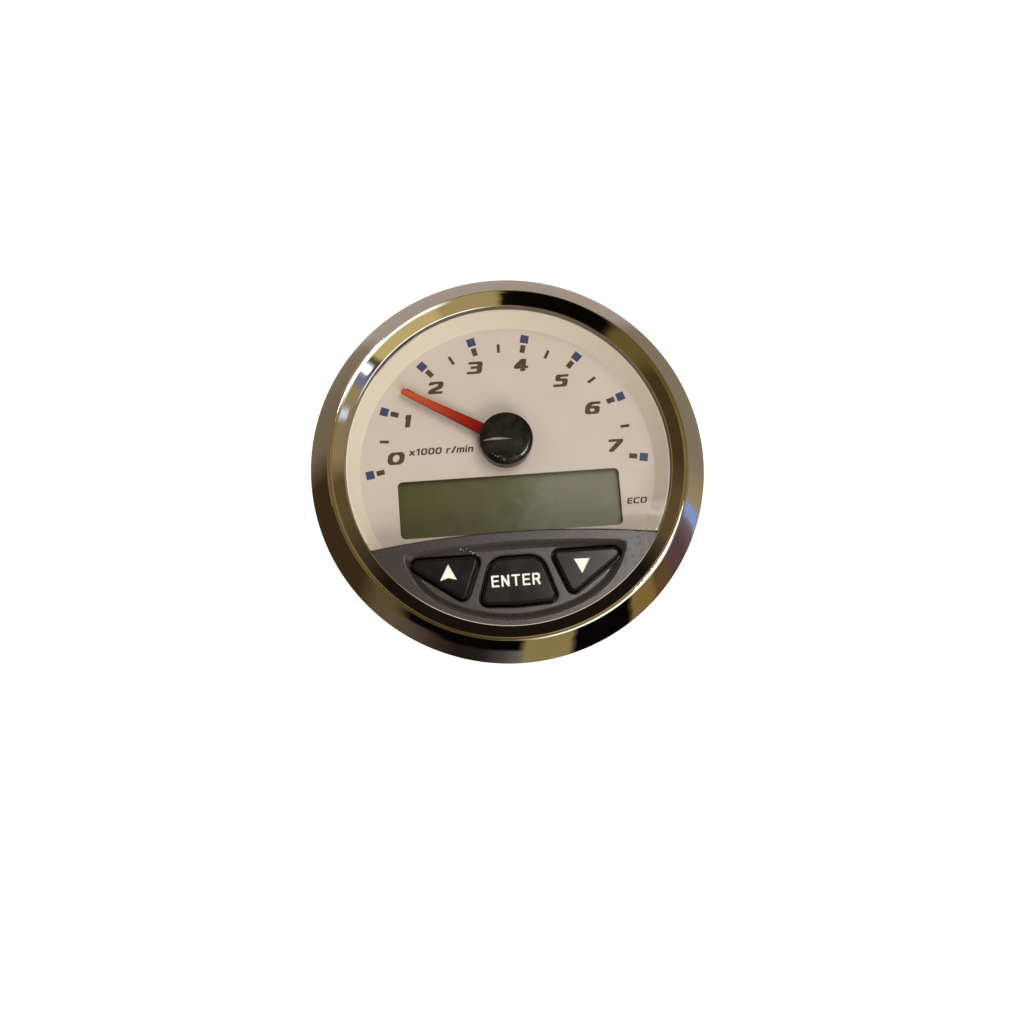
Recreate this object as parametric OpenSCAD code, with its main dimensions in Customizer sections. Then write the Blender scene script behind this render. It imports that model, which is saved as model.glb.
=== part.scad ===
// Round dash-mounted tachometer with a pointer dial, a small display and three keys.
// +Z comes out of the dial, +Y points to twelve o'clock, and z = 0 is the face of the dash panel.
// The origin is where the gauge's axis crosses that face.

/* [Bezel and lens] */
// Outer diameter of the bezel
bezel_d = 101; // [99:0.5:106]
// Gap between the bezel's rim and the dash panel
bezel_lift = 0.4; // [0.2:0.1:0.8]
// Height of the bezel's upright rim
rim_h = 1.2; // [0.8:0.1:2]
// Wall of the bezel outside the case flange
skirt_t = 2.9; // [2.5:0.1:3.5]
// Diameter of the opening in the bezel
opening_d = 83.2; // [82.4:0.2:84]
// Diameter of the bezel's ridge
ridge_d = 90.8; // [90:0.2:92]
// Height of the ridge above the lens
ridge_rise = 1.45; // [1:0.05:2.5]
// Radius of the rounded ridge
ridge_round = 0.5; // [0.35:0.05:0.6]
// Radius of the bezel's outer slope in section
slope_r = 17; // [12:1:60]
// Radius of the rounded lip that holds the lens
lip_round = 0.3; // [0.2:0.05:0.4]
// Thickness of the lens
lens_t = 2; // [1.5:0.1:3]
// How far the lens reaches under the lip
lens_hold = 1.7; // [1.2:0.1:1.9]
// Thickness of the gasket under the lens
lens_gasket_t = 0.6; // [0.4:0.1:1]

/* [Case] */
// Diameter of the barrel that goes through the dash panel
barrel_d = 85; // [84:0.5:86]
// Wall of the case
case_wall = 2; // [1.6:0.1:2.4]
// Depth of the case behind the dash panel
case_depth = 30; // [28:1:50]
// Thickness of the case flange
flange_t = 4.4; // [4:0.1:5.5]
// Depth of the seat in the flange for the spacer ring and the button panel
seat_depth = 2.8; // [2.4:0.1:3.2]
// Thickness of the gasket in the flange's underside
dash_gasket_t = 1.6; // [1:0.1:2.2]
// Width of that gasket
dash_gasket_w = 3; // [2:0.1:3.2]
// Length of each snap lug around the flange, in degrees
lug_angle = 10; // [6:1:20]
// Number of snap lugs that hold the bezel
lug_count = 8; // [4:1:12]
// How far a lug stands out
lug_out = 0.45; // [0.3:0.05:0.6]

/* [Rear fixings] */
// Distance between the two mounting studs
stud_spacing = 52; // [44:1:56]
// Height of the studs above the axis
stud_y = 8; // [4:1:12]
// Diameter of a stud
stud_d = 5; // [4:0.5:6]
// Length of the studs behind the case
stud_len = 22; // [21:1:35]
// Distance between the two connectors
plug_spacing = 28; // [26:1:32]
// Distance of the connectors below the axis
plug_y = 21; // [19:1:23]
// Thread diameter of a connector shell
plug_d = 12; // [12:0.5:13]
// Length of the thread on a connector shell
plug_len = 15; // [12:1:17]
// Depth from the connector's mouth to its contact face
plug_deep = 8.5; // [7:0.5:10]

/* [Dial] */
// Diameter of the dial that shows inside the spacer ring
dial_view_d = 76.1; // [74:0.1:78]
// Height of the spacer ring between dial and lens
spacer_h = 6; // [5.8:0.1:8]
// Thickness of the dial
dial_t = 0.5; // [0.4:0.1:1]
// Height of the pointer axis above the dial's centre
axis_y = 7.3; // [6.5:0.1:9]
// Width of the display window
window_w = 57.2; // [50:0.2:57.6]
// Height of the display window
window_h = 15.05; // [12:0.05:16]
// Height of the window's centre above the dial's centre
window_y = -8.8; // [-9.2:0.1:-8.4]
// Corner radius of the window
window_r = 1.3; // [0.5:0.1:3]

/* [Pointer] */
// Sweep of the scale, in degrees
scale_sweep = 200; // [160:5:220]
// Highest number on the scale
scale_top = 7; // [4:1:8]
// Number that the resting pointer shows
rest_value = 1.41; // [0:0.01:4]
// Length of the pointer from its axis to its tip
pointer_len = 30; // [24:0.5:30.5]
// Width of the pointer at its tip
tip_w = 1.7; // [0.8:0.1:2.5]
// Width of the pointer at the hub cap
root_w = 3.2; // [2.6:0.1:4]
// Thickness of the pointer
pointer_t = 1.1; // [0.8:0.1:1.4]
// Diameter of the hub cap
cap_d = 13.8; // [11:0.2:15]
// Height of the hub cap
cap_h = 4.5; // [4.3:0.1:4.8]
// Diameter of the pointer shaft
shaft_d = 1.5; // [1:0.1:2]

/* [Button panel] */
// Radius of the panel's upper edge
arc_r = 260; // [180:5:400]
// Height of that edge's middle above the dial's centre
arc_y = -17.6; // [-18:0.1:-17.2]
// Thickness of the panel's walls
panel_wall = 1.5; // [1.2:0.1:1.7]
// Depth of the dish around the keys
dish_depth = 1.2; // [0.6:0.1:1.6]
// Slope of the dish's side, measured across it
dish_slope = 1.3; // [0.6:0.1:2]
// Width of the panel's border above the dish
border_w = 2.6; // [2.2:0.1:3]
// Thickness of the panel under the dish
floor_t = 2.2; // [1.6:0.1:2.4]
// Gap around a key
key_gap = 0.4; // [0.2:0.05:0.6]
// How far a key stands out of the dish
key_out = 0.9; // [0.5:0.1:1.2]
// Travel of a key
key_travel = 0.8; // [0.4:0.1:0.8]
// Bevel around a key's face
key_bevel = 0.6; // [0.3:0.1:0.9]
// Side of a square key switch
switch_w = 6; // [4.5:0.1:6.4]

/* [Circuit boards] */
// Height of the light housing between dial and main board
light_h = 7.5; // [6.8:0.1:10]
// Thickness of the boards
board_t = 1.6; // [1:0.1:2]
// Thickness of the display cell
cell_t = 2.2; // [1.5:0.1:3]
// Depth of the display cell behind the dial
cell_drop = 1.5; // [0.8:0.1:2]
// Height of the motor behind the main board
motor_h = 8; // [6:0.5:9]

/* [Hidden] */

$fn = 48;
round_fn = 180;
arc_fn = 360;
cap_fn = 96;
key_fn = 36;
overrun = 1;

// Clearances: a piece in its seat, a looser seat, and a shaft in its bearing
fit_gap = 0.1;
skirt_gap = 0.2;
bearing_gap = 0.05;

// Heights, from the dash panel out to the bezel's ridge
flange_top = flange_t;
seat_z = flange_top - seat_depth;
lens_z = flange_top + lens_gasket_t;
lens_top = lens_z + lens_t;
ridge_z = lens_top + ridge_rise;

// Heights, from the lens in to the back of the case
dial_z = lens_z - spacer_h;
housing_z = dial_z - dial_t;
board_z = housing_z - light_h;
board_back = board_z - board_t;
cell_z = housing_z - cell_drop;
cell_back = cell_z - cell_t;
rear_z = -case_depth;
floor_z = rear_z + case_wall;
rest_z = rear_z - stud_len;

// Radii
bezel_r = bezel_d / 2;
skirt_r = bezel_r - skirt_t;
flange_r = skirt_r - skirt_gap;
ridge_r = ridge_d / 2;
open_r = opening_d / 2;
lens_r = open_r + lens_hold;
mouth_r = open_r - fit_gap;
ring_r = mouth_r - fit_gap;
barrel_r = barrel_d / 2;
bore_r = barrel_r - case_wall;
stack_r = bore_r - skirt_gap;
dial_view_r = dial_view_d / 2;

// Direction of the resting pointer, from three o'clock
scale_start = 90 + scale_sweep / 2;
rest_angle = scale_start - rest_value * scale_sweep / scale_top;

// Bezel and case sections: the coring groove, the snap lugs, the bevels and the gasket's groove
core_wall = 1.3;
core_w = 1.6;
core_h = 1.9;
lug_h = 1.2;
lug_z = 2.4;
rim_bevel = 0.4;
case_bevel = 1.5;
groove_wall = 0.6;
// Flats that stand for a round and for the outer slope in the bezel's section
round_steps = 5;
slope_steps = 9;

// Screws that hold the dial, the housing and the main board in the case
screw_d = 2.5;
head_d = 4.4;
head_h = 1.7;
screw_lug = 2;
screw_bite = 6;
boss_d = 6;
boss_rib = 1.6;
screw_inset = 3.7;
screw_circle_r = stack_r - screw_inset;
screw_angles = [45, 135, -19, 199];

// Light housing
light_wall = 1.5;
post_wall = 1.1;
pocket_wall = 1;

// Display: the cell laps behind the window's edges, and the frame holds it
frame_lap = 0.5;
frame_wall = 0.8;
cell_lap = 2.45;
cell_w = window_w + 2 * cell_lap;
cell_h = window_h + 2 * cell_lap;
cell_ledge = 1.2;
frame_w = cell_w + 2 * (fit_gap + frame_wall);
frame_h = cell_h + 2 * (fit_gap + frame_wall);
pocket_w = frame_w + 2 * fit_gap;
pocket_h = frame_h + 2 * fit_gap;
housing_low_y = window_y - pocket_h / 2 - pocket_wall;
guide_lap = 0.2;
guide_w = window_w + 2 * guide_lap;
guide_h = window_h + 2 * guide_lap;
strip_w = 1.8;
strip_inset = 0.1;

// Button panel: its heights and the dish, and the spacer ring's edge at the lens
panel_top = lens_top;
dish_z = panel_top - dish_depth;
plate_z = dish_z - floor_t;
lens_cut_gap = 0.15;
dish_side_r = 29.5;
dish_side_y = -14.8;
dish_rim = 1.1;
spacer_edge = 0.4;

// Keys: corner circles of their openings, as x, y and radius
side_opening = [[24.7, -24.8, 2], [11, -24.7, 1.95], [14.1, -32.4, 2]];
middle_opening = [[3.9, -27.4, 3.7], [7.6, -34.2, 2.2], [0, -31.2, 5.6], [-7.6, -34.2, 2.2], [-3.9, -27.4, 3.7]];
side_switch = [16.6, -27];
middle_switch = [0, -31.2];
key_top = dish_z + key_out;
key_flange = 0.6;
key_flange_t = 0.7;
key_drop = 0.1;
key_flange_z = plate_z - key_drop - key_flange_t;
post_d = 3.4;

// Switches under the keys, from the keys down to their board
plunger_d = 2.4;
plunger_in = 1.3;
plunger_spare = 0.2;
key_post_h = 0.9;
switch_h = 3.2;
plunger_top = key_flange_z - key_post_h;
switch_top = plunger_top - key_travel - plunger_spare;
button_board_z = switch_top - switch_h;
button_board_back = button_board_z - board_t;
button_board_gap = 0.3;
button_board_y = housing_low_y - button_board_gap;
button_board_r = bore_r - 2 * button_board_gap;
panel_screw_d = 2;
panel_head_d = 3.8;
panel_head_h = 1.3;
panel_screw_len = 5;
panel_post_d = 3.4;
panel_post_angle = -39.5;
panel_post_r = bore_r - skirt_gap - panel_post_d / 2;
header_w = 15;
header_d = 5;
header_y = -24.6;

// Pointer and hub cap
pointer_lift = 1.9;
pointer_z = dial_z + pointer_lift;
pointer_top = pointer_z + pointer_t;
arm_bevel = 0.3;
hub_boss_d = 5.2;
hub_boss_lift = 0.4;
hub_boss_z = dial_z + hub_boss_lift;
hub_boss_top = pointer_top + hub_boss_lift;
cap_lift = 0.9;
cap_z = dial_z + cap_lift;
cap_top = cap_z + cap_h;
cap_wall = 1;
cap_round = 0.6;
cap_post_d = 3.6;
shaft_cover = 0.5;
shaft_top = hub_boss_top - shaft_cover;
shaft_hole_gap = 0.85;
shaft_hole_d = shaft_d + 2 * shaft_hole_gap;

// Motor
motor_w = 30;
motor_l = 27;
motor_shift = -4;
motor_round = 3;
collar_d = 6.8;
collar_h = 1;
collar_gap = 0.3;
motor_floor = 1;
shaft_end = board_back - motor_h + motor_floor;

// Rear fixings
stud_pad_d = 12;
stud_pad_h = 2;
stud_head_af = 8;
stud_head_h = 2.5;
stud_tip = 0.6;
stud_knurl = 0.6;
stud_shank_d = stud_d + 2 * stud_knurl;
plug_boss_d = 20;
plug_hex_af = 17;
plug_hex_h = 3;
plug_boss_h = stud_len - plug_len - plug_hex_h;
plug_step = 0.5;
plug_stem_d = plug_d - 2 * plug_step;
plug_shell_t = 1.6;
plug_bore_d = plug_d - 2 * plug_shell_t;
plug_nut_af = 15;
plug_nut_h = 2;
plug_collar_d = 10.4;
plug_collar_h = 2;
plug_back_z = floor_z + plug_nut_h;
contact_circle_r = 2.6;
contact_d = 1;
contact_gap = 0.02;
contact_short = 1.5;
lead_d = 1.3;
vent_y = 24;
vent_d = 10;
vent_stem_d = 4;
vent_h = 1.6;
vent_hook = 1;

// Parts on the boards: x, y, width, depth and height of each box, and the capacitors
back_chips = [[-23, -6, 12, 12, 1.4], [23, -3, 7, 7, 1.2], [22, 12, 6.5, 5, 2.3], [-22, 12, 5, 6, 1.6]];
front_chips = [[19, -28, 8, 6, 2.4], [-19, -28, 6, 6, 1.8]];
capacitor_points = [[-27, -19.5], [27, -19.5]];
capacitor_d = 8;
capacitor_h = 9;
led_w = 3.5;
led_d = 2.8;
led_h = 1.9;
led_circle_r = 30;
led_angles = [20, 68, 112, 160];
key_led_h = 0.8;
side_led_shift = [5.5, 1];
middle_led_shift = [5.5, 0];

// Point at distance p_r from p and q_r from q, on the side of the gauge's axis
function centre_from(p, p_r, q, q_r) =
    let (d = (q - p) / norm(q - p), along = (p_r * p_r - q_r * q_r + (q - p) * (q - p)) / (2 * norm(q - p)))
    p + along * d + sqrt(p_r * p_r - along * along) * [-d[1], d[0]];

function direction(v) = atan2(v[1], v[0]);

// Points along an arc, both ends included
function arc_points(centre, r, from, to, steps) =
    [for (i = [0:steps]) centre + polar(r, from + (to - from) * i / steps)];

// Direction in which the line that rests on two rounds meets them, seen from their centres
function tangent_angle(p, p_round, q, q_round) =
    direction(p - q) + 180 - acos((p_round - q_round) / norm(q - p));

function polar(r, angle) = [r * cos(angle), r * sin(angle)];

// Diameter over the corners of a hexagon
function hex_d(across_flats) = across_flats / cos(30);

screw_points = [for (a = screw_angles) polar(screw_circle_r, a)];
panel_post = polar(panel_post_r, panel_post_angle);
contact_points = concat([[0, 0]], [for (a = [45:90:315]) polar(contact_circle_r, a)]);

module at_heights(z0, z1) {
    translate([0, 0, z0]) linear_extrude(z1 - z0) children();
}

module disc(r, z0, z1) {
    translate([0, 0, z0]) cylinder(h = z1 - z0, r = r, $fn = round_fn);
}

module rod(d, z0, z1) {
    translate([0, 0, z0]) cylinder(h = z1 - z0, d = d);
}

module hexagon(across_flats, z0, z1) {
    translate([0, 0, z0]) cylinder(h = z1 - z0, d = hex_d(across_flats), $fn = 6);
}

module ring(r_in, r_out, z0, z1) {
    difference() {
        disc(r_out, z0, z1);
        disc(r_in, z0 - overrun, z1 + overrun);
    }
}

module rounded_rect(w, h, r) {
    square([w - 2 * r, h], center = true);
    square([w, h - 2 * r], center = true);
    for (x = [-1, 1], y = [-1, 1])
        translate([x * (w / 2 - r), y * (h / 2 - r)]) circle(r = r);
}

module both_sides() {
    children();
    mirror([1, 0, 0]) children();
}

module at_points(points) {
    for (p = points) translate([p[0], p[1], 0]) children();
}

module at_studs() {
    for (x = [-1, 1]) translate([x * stud_spacing / 2, stud_y, 0]) children();
}

module at_plugs() {
    for (x = [-1, 1]) translate([x * plug_spacing / 2, -plug_y, 0]) children();
}

// Area below the button panel's upper edge, moved down by drop
module below_arc(drop) {
    translate([0, arc_y - arc_r - drop]) circle(r = arc_r, $fn = arc_fn);
}

// Half of the gauge above a level
module above(y) {
    translate([-bezel_r, y]) square([bezel_d, bezel_d]);
}

// Bezel

module bezel_section() {
    foot = [bezel_r, bezel_lift + rim_h];
    ridge = [ridge_r, ridge_z - ridge_round];
    lip = [open_r + lip_round, lens_top + lip_round];
    slope_centre = centre_from(foot, slope_r, ridge, slope_r - ridge_round);
    slope_end = direction(ridge - slope_centre);
    upward = tangent_angle(ridge, ridge_round, lip, lip_round);
    lens_seat_r = lens_r + fit_gap;
    difference() {
        polygon(concat([[lens_seat_r, bezel_lift], [bezel_r - rim_bevel, bezel_lift], [bezel_r, bezel_lift + rim_bevel]],
            arc_points(slope_centre, slope_r, direction(foot - slope_centre), slope_end, slope_steps),
            arc_points(ridge, ridge_round, slope_end, upward, round_steps),
            arc_points(lip, lip_round, upward, 270, round_steps),
            [[lens_seat_r, lens_top]]));
        square([skirt_r, flange_top]);
        translate([lens_seat_r + core_wall, flange_top - overrun]) square([core_w, core_h + overrun]);
        translate([skirt_r - overrun, lug_z - skirt_gap])
            square([overrun + lug_out, lug_h + 2 * skirt_gap]);
    }
}

module bezel() {
    color("silver") rotate_extrude($fn = round_fn) bezel_section();
}

// Lens and seals

module lens() {
    color("lightcyan", 0.3) difference() {
        disc(lens_r, lens_z, lens_top);
        at_heights(lens_z - overrun, lens_top + overrun) below_arc(-lens_cut_gap);
    }
}

module lens_gasket() {
    color("black") ring(mouth_r, lens_r, flange_top, lens_z);
}

module dash_gasket() {
    r_in = barrel_r + groove_wall + fit_gap;
    color("dimgray") ring(r_in, r_in + dash_gasket_w, 0, dash_gasket_t);
}

// Case

module case_shell() {
    groove_w = dash_gasket_w + 2 * fit_gap;
    rotate_extrude($fn = round_fn) difference() {
        polygon([[0, rear_z], [barrel_r - case_bevel, rear_z], [barrel_r, rear_z + case_bevel], [barrel_r, 0],
            [flange_r, 0], [flange_r, flange_top], [mouth_r, flange_top], [mouth_r, seat_z], [bore_r, seat_z],
            [bore_r, floor_z], [0, floor_z]]);
        translate([barrel_r + groove_wall, -overrun]) square([groove_w, overrun + dash_gasket_t]);
    }
}

module snap_lugs() {
    for (i = [0:lug_count - 1])
        rotate([0, 0, (i + 0.5) * 360 / lug_count - lug_angle / 2])
            rotate_extrude(angle = lug_angle, $fn = round_fn)
                translate([flange_r, lug_z]) polygon([[-overrun, 0], [0, 0], [lug_out, lug_h / 3],
                    [lug_out, 2 * lug_h / 3], [0, lug_h], [-overrun, lug_h]]);
}

// A screw boss with its rib out to the wall of the case
module case_boss(p) {
    reach = bore_r + case_wall / 2 - norm(p);
    translate([p[0], p[1], 0]) {
        rod(boss_d, floor_z, board_back);
        rotate([0, 0, atan2(p[1], p[0])]) translate([0, -boss_rib / 2, floor_z])
            cube([reach, boss_rib, board_back - floor_z]);
    }
}

module case() {
    color([0.1, 0.1, 0.11]) difference() {
        union() {
            case_shell();
            snap_lugs();
            for (p = screw_points) case_boss(p);
            at_studs() rod(stud_pad_d, rear_z - stud_pad_h, floor_z);
            at_plugs() rod(plug_boss_d, rear_z - plug_boss_h, floor_z);
        }
        at_points(screw_points) rod(screw_d + 2 * bearing_gap, board_back - screw_bite - overrun, board_back + overrun);
        at_studs() rod(stud_shank_d + 2 * fit_gap, rear_z - stud_pad_h - overrun, floor_z + overrun);
        at_plugs() rod(plug_stem_d + 2 * fit_gap, rear_z - plug_boss_h - overrun, floor_z + overrun);
        translate([0, vent_y, 0]) rod(vent_stem_d + 2 * bearing_gap, rear_z - overrun, floor_z + overrun);
    }
}

// Button panel

module key_outline(corners, grow) {
    hull() for (c = corners)
        translate([c[0], c[1]]) circle(r = c[2] + grow, $fn = key_fn);
}

module dish_outline(inset) {
    intersection() {
        circle(r = ring_r - dish_rim - inset, $fn = round_fn);
        below_arc(border_w + inset);
        translate([0, dish_side_y]) circle(r = dish_side_r - inset, $fn = round_fn);
    }
}

module panel_body() {
    difference() {
        union() {
            intersection() {
                union() {
                    disc(lens_r, lens_z, panel_top);
                    disc(ring_r, plate_z, panel_top);
                    ring(ring_r - panel_wall, ring_r, seat_z, plate_z);
                }
                at_heights(seat_z, panel_top) below_arc(0);
            }
            difference() {
                intersection() {
                    union() {
                        disc(ring_r, seat_z, plate_z);
                        disc(bore_r - fit_gap, dial_z, seat_z);
                    }
                    at_heights(dial_z, plate_z) below_arc(0);
                }
                at_heights(dial_z - overrun, plate_z) below_arc(panel_wall);
            }
            both_sides() at_points([panel_post]) rod(panel_post_d, button_board_z, plate_z);
        }
        both_sides() at_points([panel_post])
            rod(panel_screw_d + 2 * bearing_gap, button_board_z - overrun,
                button_board_back + panel_screw_len + skirt_gap);
    }
}

module button_panel() {
    color([0.29, 0.27, 0.27]) difference() {
        panel_body();
        hull() {
            at_heights(panel_top, panel_top + overrun) dish_outline(0);
            at_heights(dish_z, dish_z + overrun / 2) dish_outline(dish_slope);
        }
        at_heights(plate_z - overrun, panel_top + overrun) {
            key_outline(middle_opening, 0);
            both_sides() key_outline(side_opening, 0);
        }
    }
}

// Keys and switches

module key(corners, centre) {
    color([0.12, 0.12, 0.12]) {
        at_heights(key_flange_z, key_top - key_bevel) key_outline(corners, -key_gap);
        at_heights(key_flange_z, key_flange_z + key_flange_t) key_outline(corners, key_flange - key_gap);
        hull() {
            at_heights(key_flange_z + key_flange_t, key_top - key_bevel) key_outline(corners, -key_gap);
            at_heights(key_flange_z + key_flange_t, key_top) key_outline(corners, -key_gap - key_bevel);
        }
        at_points([centre]) rod(post_d, plunger_top, key_flange_z);
    }
}

module up_button() { mirror([1, 0, 0]) key(side_opening, side_switch); }

module enter_button() { key(middle_opening, middle_switch); }

module down_button() { key(side_opening, side_switch); }

module plunger(centre) {
    color("wheat") at_points([centre]) rod(plunger_d, switch_top - plunger_in, plunger_top);
}

module up_plunger() { mirror([1, 0, 0]) plunger(side_switch); }

module enter_plunger() { plunger(middle_switch); }

module down_plunger() { plunger(side_switch); }

module key_switch() {
    difference() {
        translate([-switch_w / 2, -switch_w / 2, button_board_z]) cube([switch_w, switch_w, switch_h]);
        rod(plunger_d + 2 * bearing_gap, switch_top - plunger_in - key_travel - fit_gap, switch_top + overrun);
    }
}

module key_switches() {
    color([0.2, 0.2, 0.22]) {
        at_points([middle_switch]) key_switch();
        both_sides() at_points([side_switch]) key_switch();
    }
}

module button_board() {
    color("darkgreen") difference() {
        intersection() {
            disc(button_board_r, button_board_back, button_board_z);
            at_heights(button_board_back, button_board_z)
                translate([-bezel_r, button_board_y - bezel_d]) square([bezel_d, bezel_d]);
        }
        both_sides() at_points([panel_post])
            rod(panel_screw_d + 2 * fit_gap, button_board_back - overrun, button_board_z + overrun);
    }
}

module panel_screws() {
    color("silver") both_sides() at_points([panel_post]) {
        rod(panel_head_d, button_board_back - panel_head_h, button_board_back);
        rod(panel_screw_d, button_board_back, button_board_back + panel_screw_len);
    }
}

module board_header() {
    color("black") translate([-header_w / 2, header_y - header_d / 2, board_z])
        cube([header_w, header_d, button_board_back - board_z]);
}

// Dial and spacer ring

module spacer_ring() {
    color("antiquewhite") difference() {
        rotate_extrude($fn = round_fn) polygon([[dial_view_r, dial_z], [bore_r - fit_gap, dial_z],
            [bore_r - fit_gap, seat_z], [ring_r, seat_z], [ring_r, lens_z], [ring_r - spacer_edge, lens_z]]);
        at_heights(dial_z - overrun, lens_z + overrun) below_arc(-fit_gap);
    }
}

module dial() {
    color([0.84, 0.78, 0.7]) difference() {
        disc(stack_r, housing_z, dial_z);
        at_heights(housing_z - overrun, dial_z + overrun) {
            below_arc(panel_wall);
            translate([0, window_y]) rounded_rect(window_w, window_h, window_r);
        }
        translate([0, axis_y, 0]) rod(shaft_hole_d, housing_z - overrun, dial_z + overrun);
    }
}

// Display

module lcd_frame() {
    color([0.08, 0.08, 0.08]) translate([0, window_y, 0]) difference() {
        at_heights(board_z, housing_z) square([frame_w, frame_h], center = true);
        at_heights(board_z - overrun, cell_z)
            square([cell_w + 2 * fit_gap, cell_h + 2 * fit_gap], center = true);
        at_heights(cell_z - overrun, housing_z + overrun)
            rounded_rect(window_w + 2 * frame_lap, window_h + 2 * frame_lap, window_r);
    }
}

module lcd_cell() {
    color([0.38, 0.4, 0.25]) translate([0, window_y, 0]) {
        at_heights(cell_back, cell_z - cell_t / 2) square([cell_w, cell_h], center = true);
        at_heights(cell_z - cell_t / 2, cell_z) square([cell_w, cell_h - 2 * cell_ledge], center = true);
    }
}

module lcd_light_guide() {
    color("white") translate([0, window_y, 0]) at_heights(board_z, cell_back)
        square([guide_w, guide_h], center = true);
}

module lcd_contact_strips() {
    color("pink") for (y = [-1, 1])
        translate([0, window_y + y * (cell_h / 2 - strip_inset - strip_w / 2), 0])
            at_heights(board_z, cell_back) square([window_w, strip_w], center = true);
}

module light_housing() {
    color("white") difference() {
        intersection() {
            union() {
                disc(stack_r, housing_z - light_wall, housing_z);
                ring(stack_r - light_wall, stack_r, board_z, housing_z);
                at_heights(board_z, housing_z) difference() {
                    above(housing_low_y);
                    above(housing_low_y + pocket_wall);
                }
                translate([0, window_y, 0]) at_heights(board_z, housing_z)
                    square([pocket_w + 2 * pocket_wall, pocket_h + 2 * pocket_wall], center = true);
                at_points(screw_points) rod(head_d + 2 * post_wall, board_z, housing_z);
                translate([0, axis_y, 0]) rod(collar_d + 2 * (collar_gap + post_wall), board_z, housing_z);
            }
            disc(stack_r, board_z, housing_z);
            at_heights(board_z, housing_z) above(housing_low_y);
        }
        translate([0, window_y, 0]) at_heights(board_z - overrun, housing_z + overrun)
            square([pocket_w, pocket_h], center = true);
        at_points(screw_points) {
            rod(screw_d + 2 * fit_gap, board_z - overrun, housing_z + overrun);
            rod(head_d + 2 * fit_gap, board_z + screw_lug, housing_z + overrun);
        }
        translate([0, axis_y, 0]) {
            rod(collar_d + 2 * collar_gap, board_z - overrun, housing_z - light_wall);
            rod(shaft_hole_d, board_z - overrun, housing_z + overrun);
        }
    }
}

// Pointer

module at_pointer() {
    translate([0, axis_y, 0]) rotate([0, 0, rest_angle]) children();
}

module arm_outline(inset) {
    polygon([[0, inset - root_w / 2], [cap_d / 2, inset - root_w / 2], [pointer_len, inset - tip_w / 2],
        [pointer_len, tip_w / 2 - inset], [cap_d / 2, root_w / 2 - inset], [0, root_w / 2 - inset]]);
}

module pointer() {
    color([0.84, 0.2, 0.1]) at_pointer() difference() {
        union() {
            hull() {
                at_heights(pointer_z, pointer_top - arm_bevel) arm_outline(0);
                at_heights(pointer_z, pointer_top) arm_outline(arm_bevel);
            }
            rod(hub_boss_d, hub_boss_z, hub_boss_top);
        }
        rod(shaft_d + 2 * contact_gap, hub_boss_z - overrun, shaft_top);
    }
}

module hub_cap() {
    cap_r = cap_d / 2;
    color([0.07, 0.06, 0.06]) at_pointer() difference() {
        union() {
            rotate_extrude($fn = cap_fn) difference() {
                union() {
                    translate([0, cap_z]) square([cap_r, cap_h - cap_round]);
                    translate([0, cap_z]) square([cap_r - cap_round, cap_h]);
                    translate([cap_r - cap_round, cap_top - cap_round]) circle(r = cap_round);
                }
                translate([0, cap_z - overrun]) square([cap_r - cap_wall, cap_h - cap_wall + overrun]);
            }
            rod(cap_post_d, hub_boss_top, cap_top - cap_wall / 2);
        }
        translate([0, -root_w / 2 - fit_gap, cap_z - overrun])
            cube([cap_d, root_w + 2 * fit_gap, pointer_top + fit_gap - cap_z + overrun]);
    }
}

module pointer_shaft() {
    color("silver") at_pointer() rod(shaft_d, shaft_end, shaft_top);
}

// Motor and main board

module stepper_motor() {
    color([0.9, 0.9, 0.88]) translate([0, axis_y, 0]) difference() {
        union() {
            translate([0, motor_shift, 0]) at_heights(board_back - motor_h, board_back)
                rounded_rect(motor_w, motor_l, motor_round);
            rod(collar_d, board_back - overrun, board_z + collar_h);
        }
        rod(shaft_d + 2 * bearing_gap, shaft_end - fit_gap, board_z + collar_h + overrun);
    }
}

module main_board() {
    color("darkgreen") difference() {
        disc(stack_r, board_back, board_z);
        at_points(screw_points) rod(screw_d + 2 * fit_gap, board_back - overrun, board_z + overrun);
        translate([0, axis_y, 0]) rod(collar_d + 2 * fit_gap, board_back - overrun, board_z + overrun);
    }
}

module board_chips() {
    color([0.15, 0.15, 0.16]) {
        for (c = back_chips) translate([c[0] - c[2] / 2, c[1] - c[3] / 2, board_back - c[4]])
            cube([c[2], c[3], c[4]]);
        for (c = front_chips) translate([c[0] - c[2] / 2, c[1] - c[3] / 2, board_z])
            cube([c[2], c[3], c[4]]);
    }
}

module capacitors() {
    color("slategray") at_points(capacitor_points) rod(capacitor_d, board_back - capacitor_h, board_back);
}

module led(h) {
    translate([-led_w / 2, -led_d / 2, 0]) cube([led_w, led_d, h]);
}

module board_leds() {
    edge_x = guide_w / 2 + fit_gap;
    color("khaki") {
        for (a = led_angles) translate(concat(polar(led_circle_r, a), board_z)) led(led_h);
        both_sides() translate([edge_x, window_y - led_w / 2, board_z]) cube([led_h - 2 * fit_gap, led_w, led_d]);
        both_sides() translate(concat(side_switch + side_led_shift, button_board_z)) led(key_led_h);
        translate(concat(middle_switch + middle_led_shift, button_board_z)) led(key_led_h);
    }
}

module module_screws() {
    head_z = board_z + screw_lug;
    color("silver") at_points(screw_points) {
        rod(head_d, head_z, head_z + head_h);
        rod(screw_d, board_back - screw_bite, head_z);
    }
}

// Rear fixings

module mounting_studs() {
    color("gold") at_studs() {
        hexagon(stud_head_af, floor_z, floor_z + stud_head_h);
        rod(stud_shank_d, rear_z - stud_pad_h, floor_z);
        rod(stud_d, rest_z + stud_tip, rear_z - stud_pad_h);
        translate([0, 0, rest_z]) cylinder(h = stud_tip, d1 = stud_d - 2 * stud_tip, d2 = stud_d);
    }
}

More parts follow.
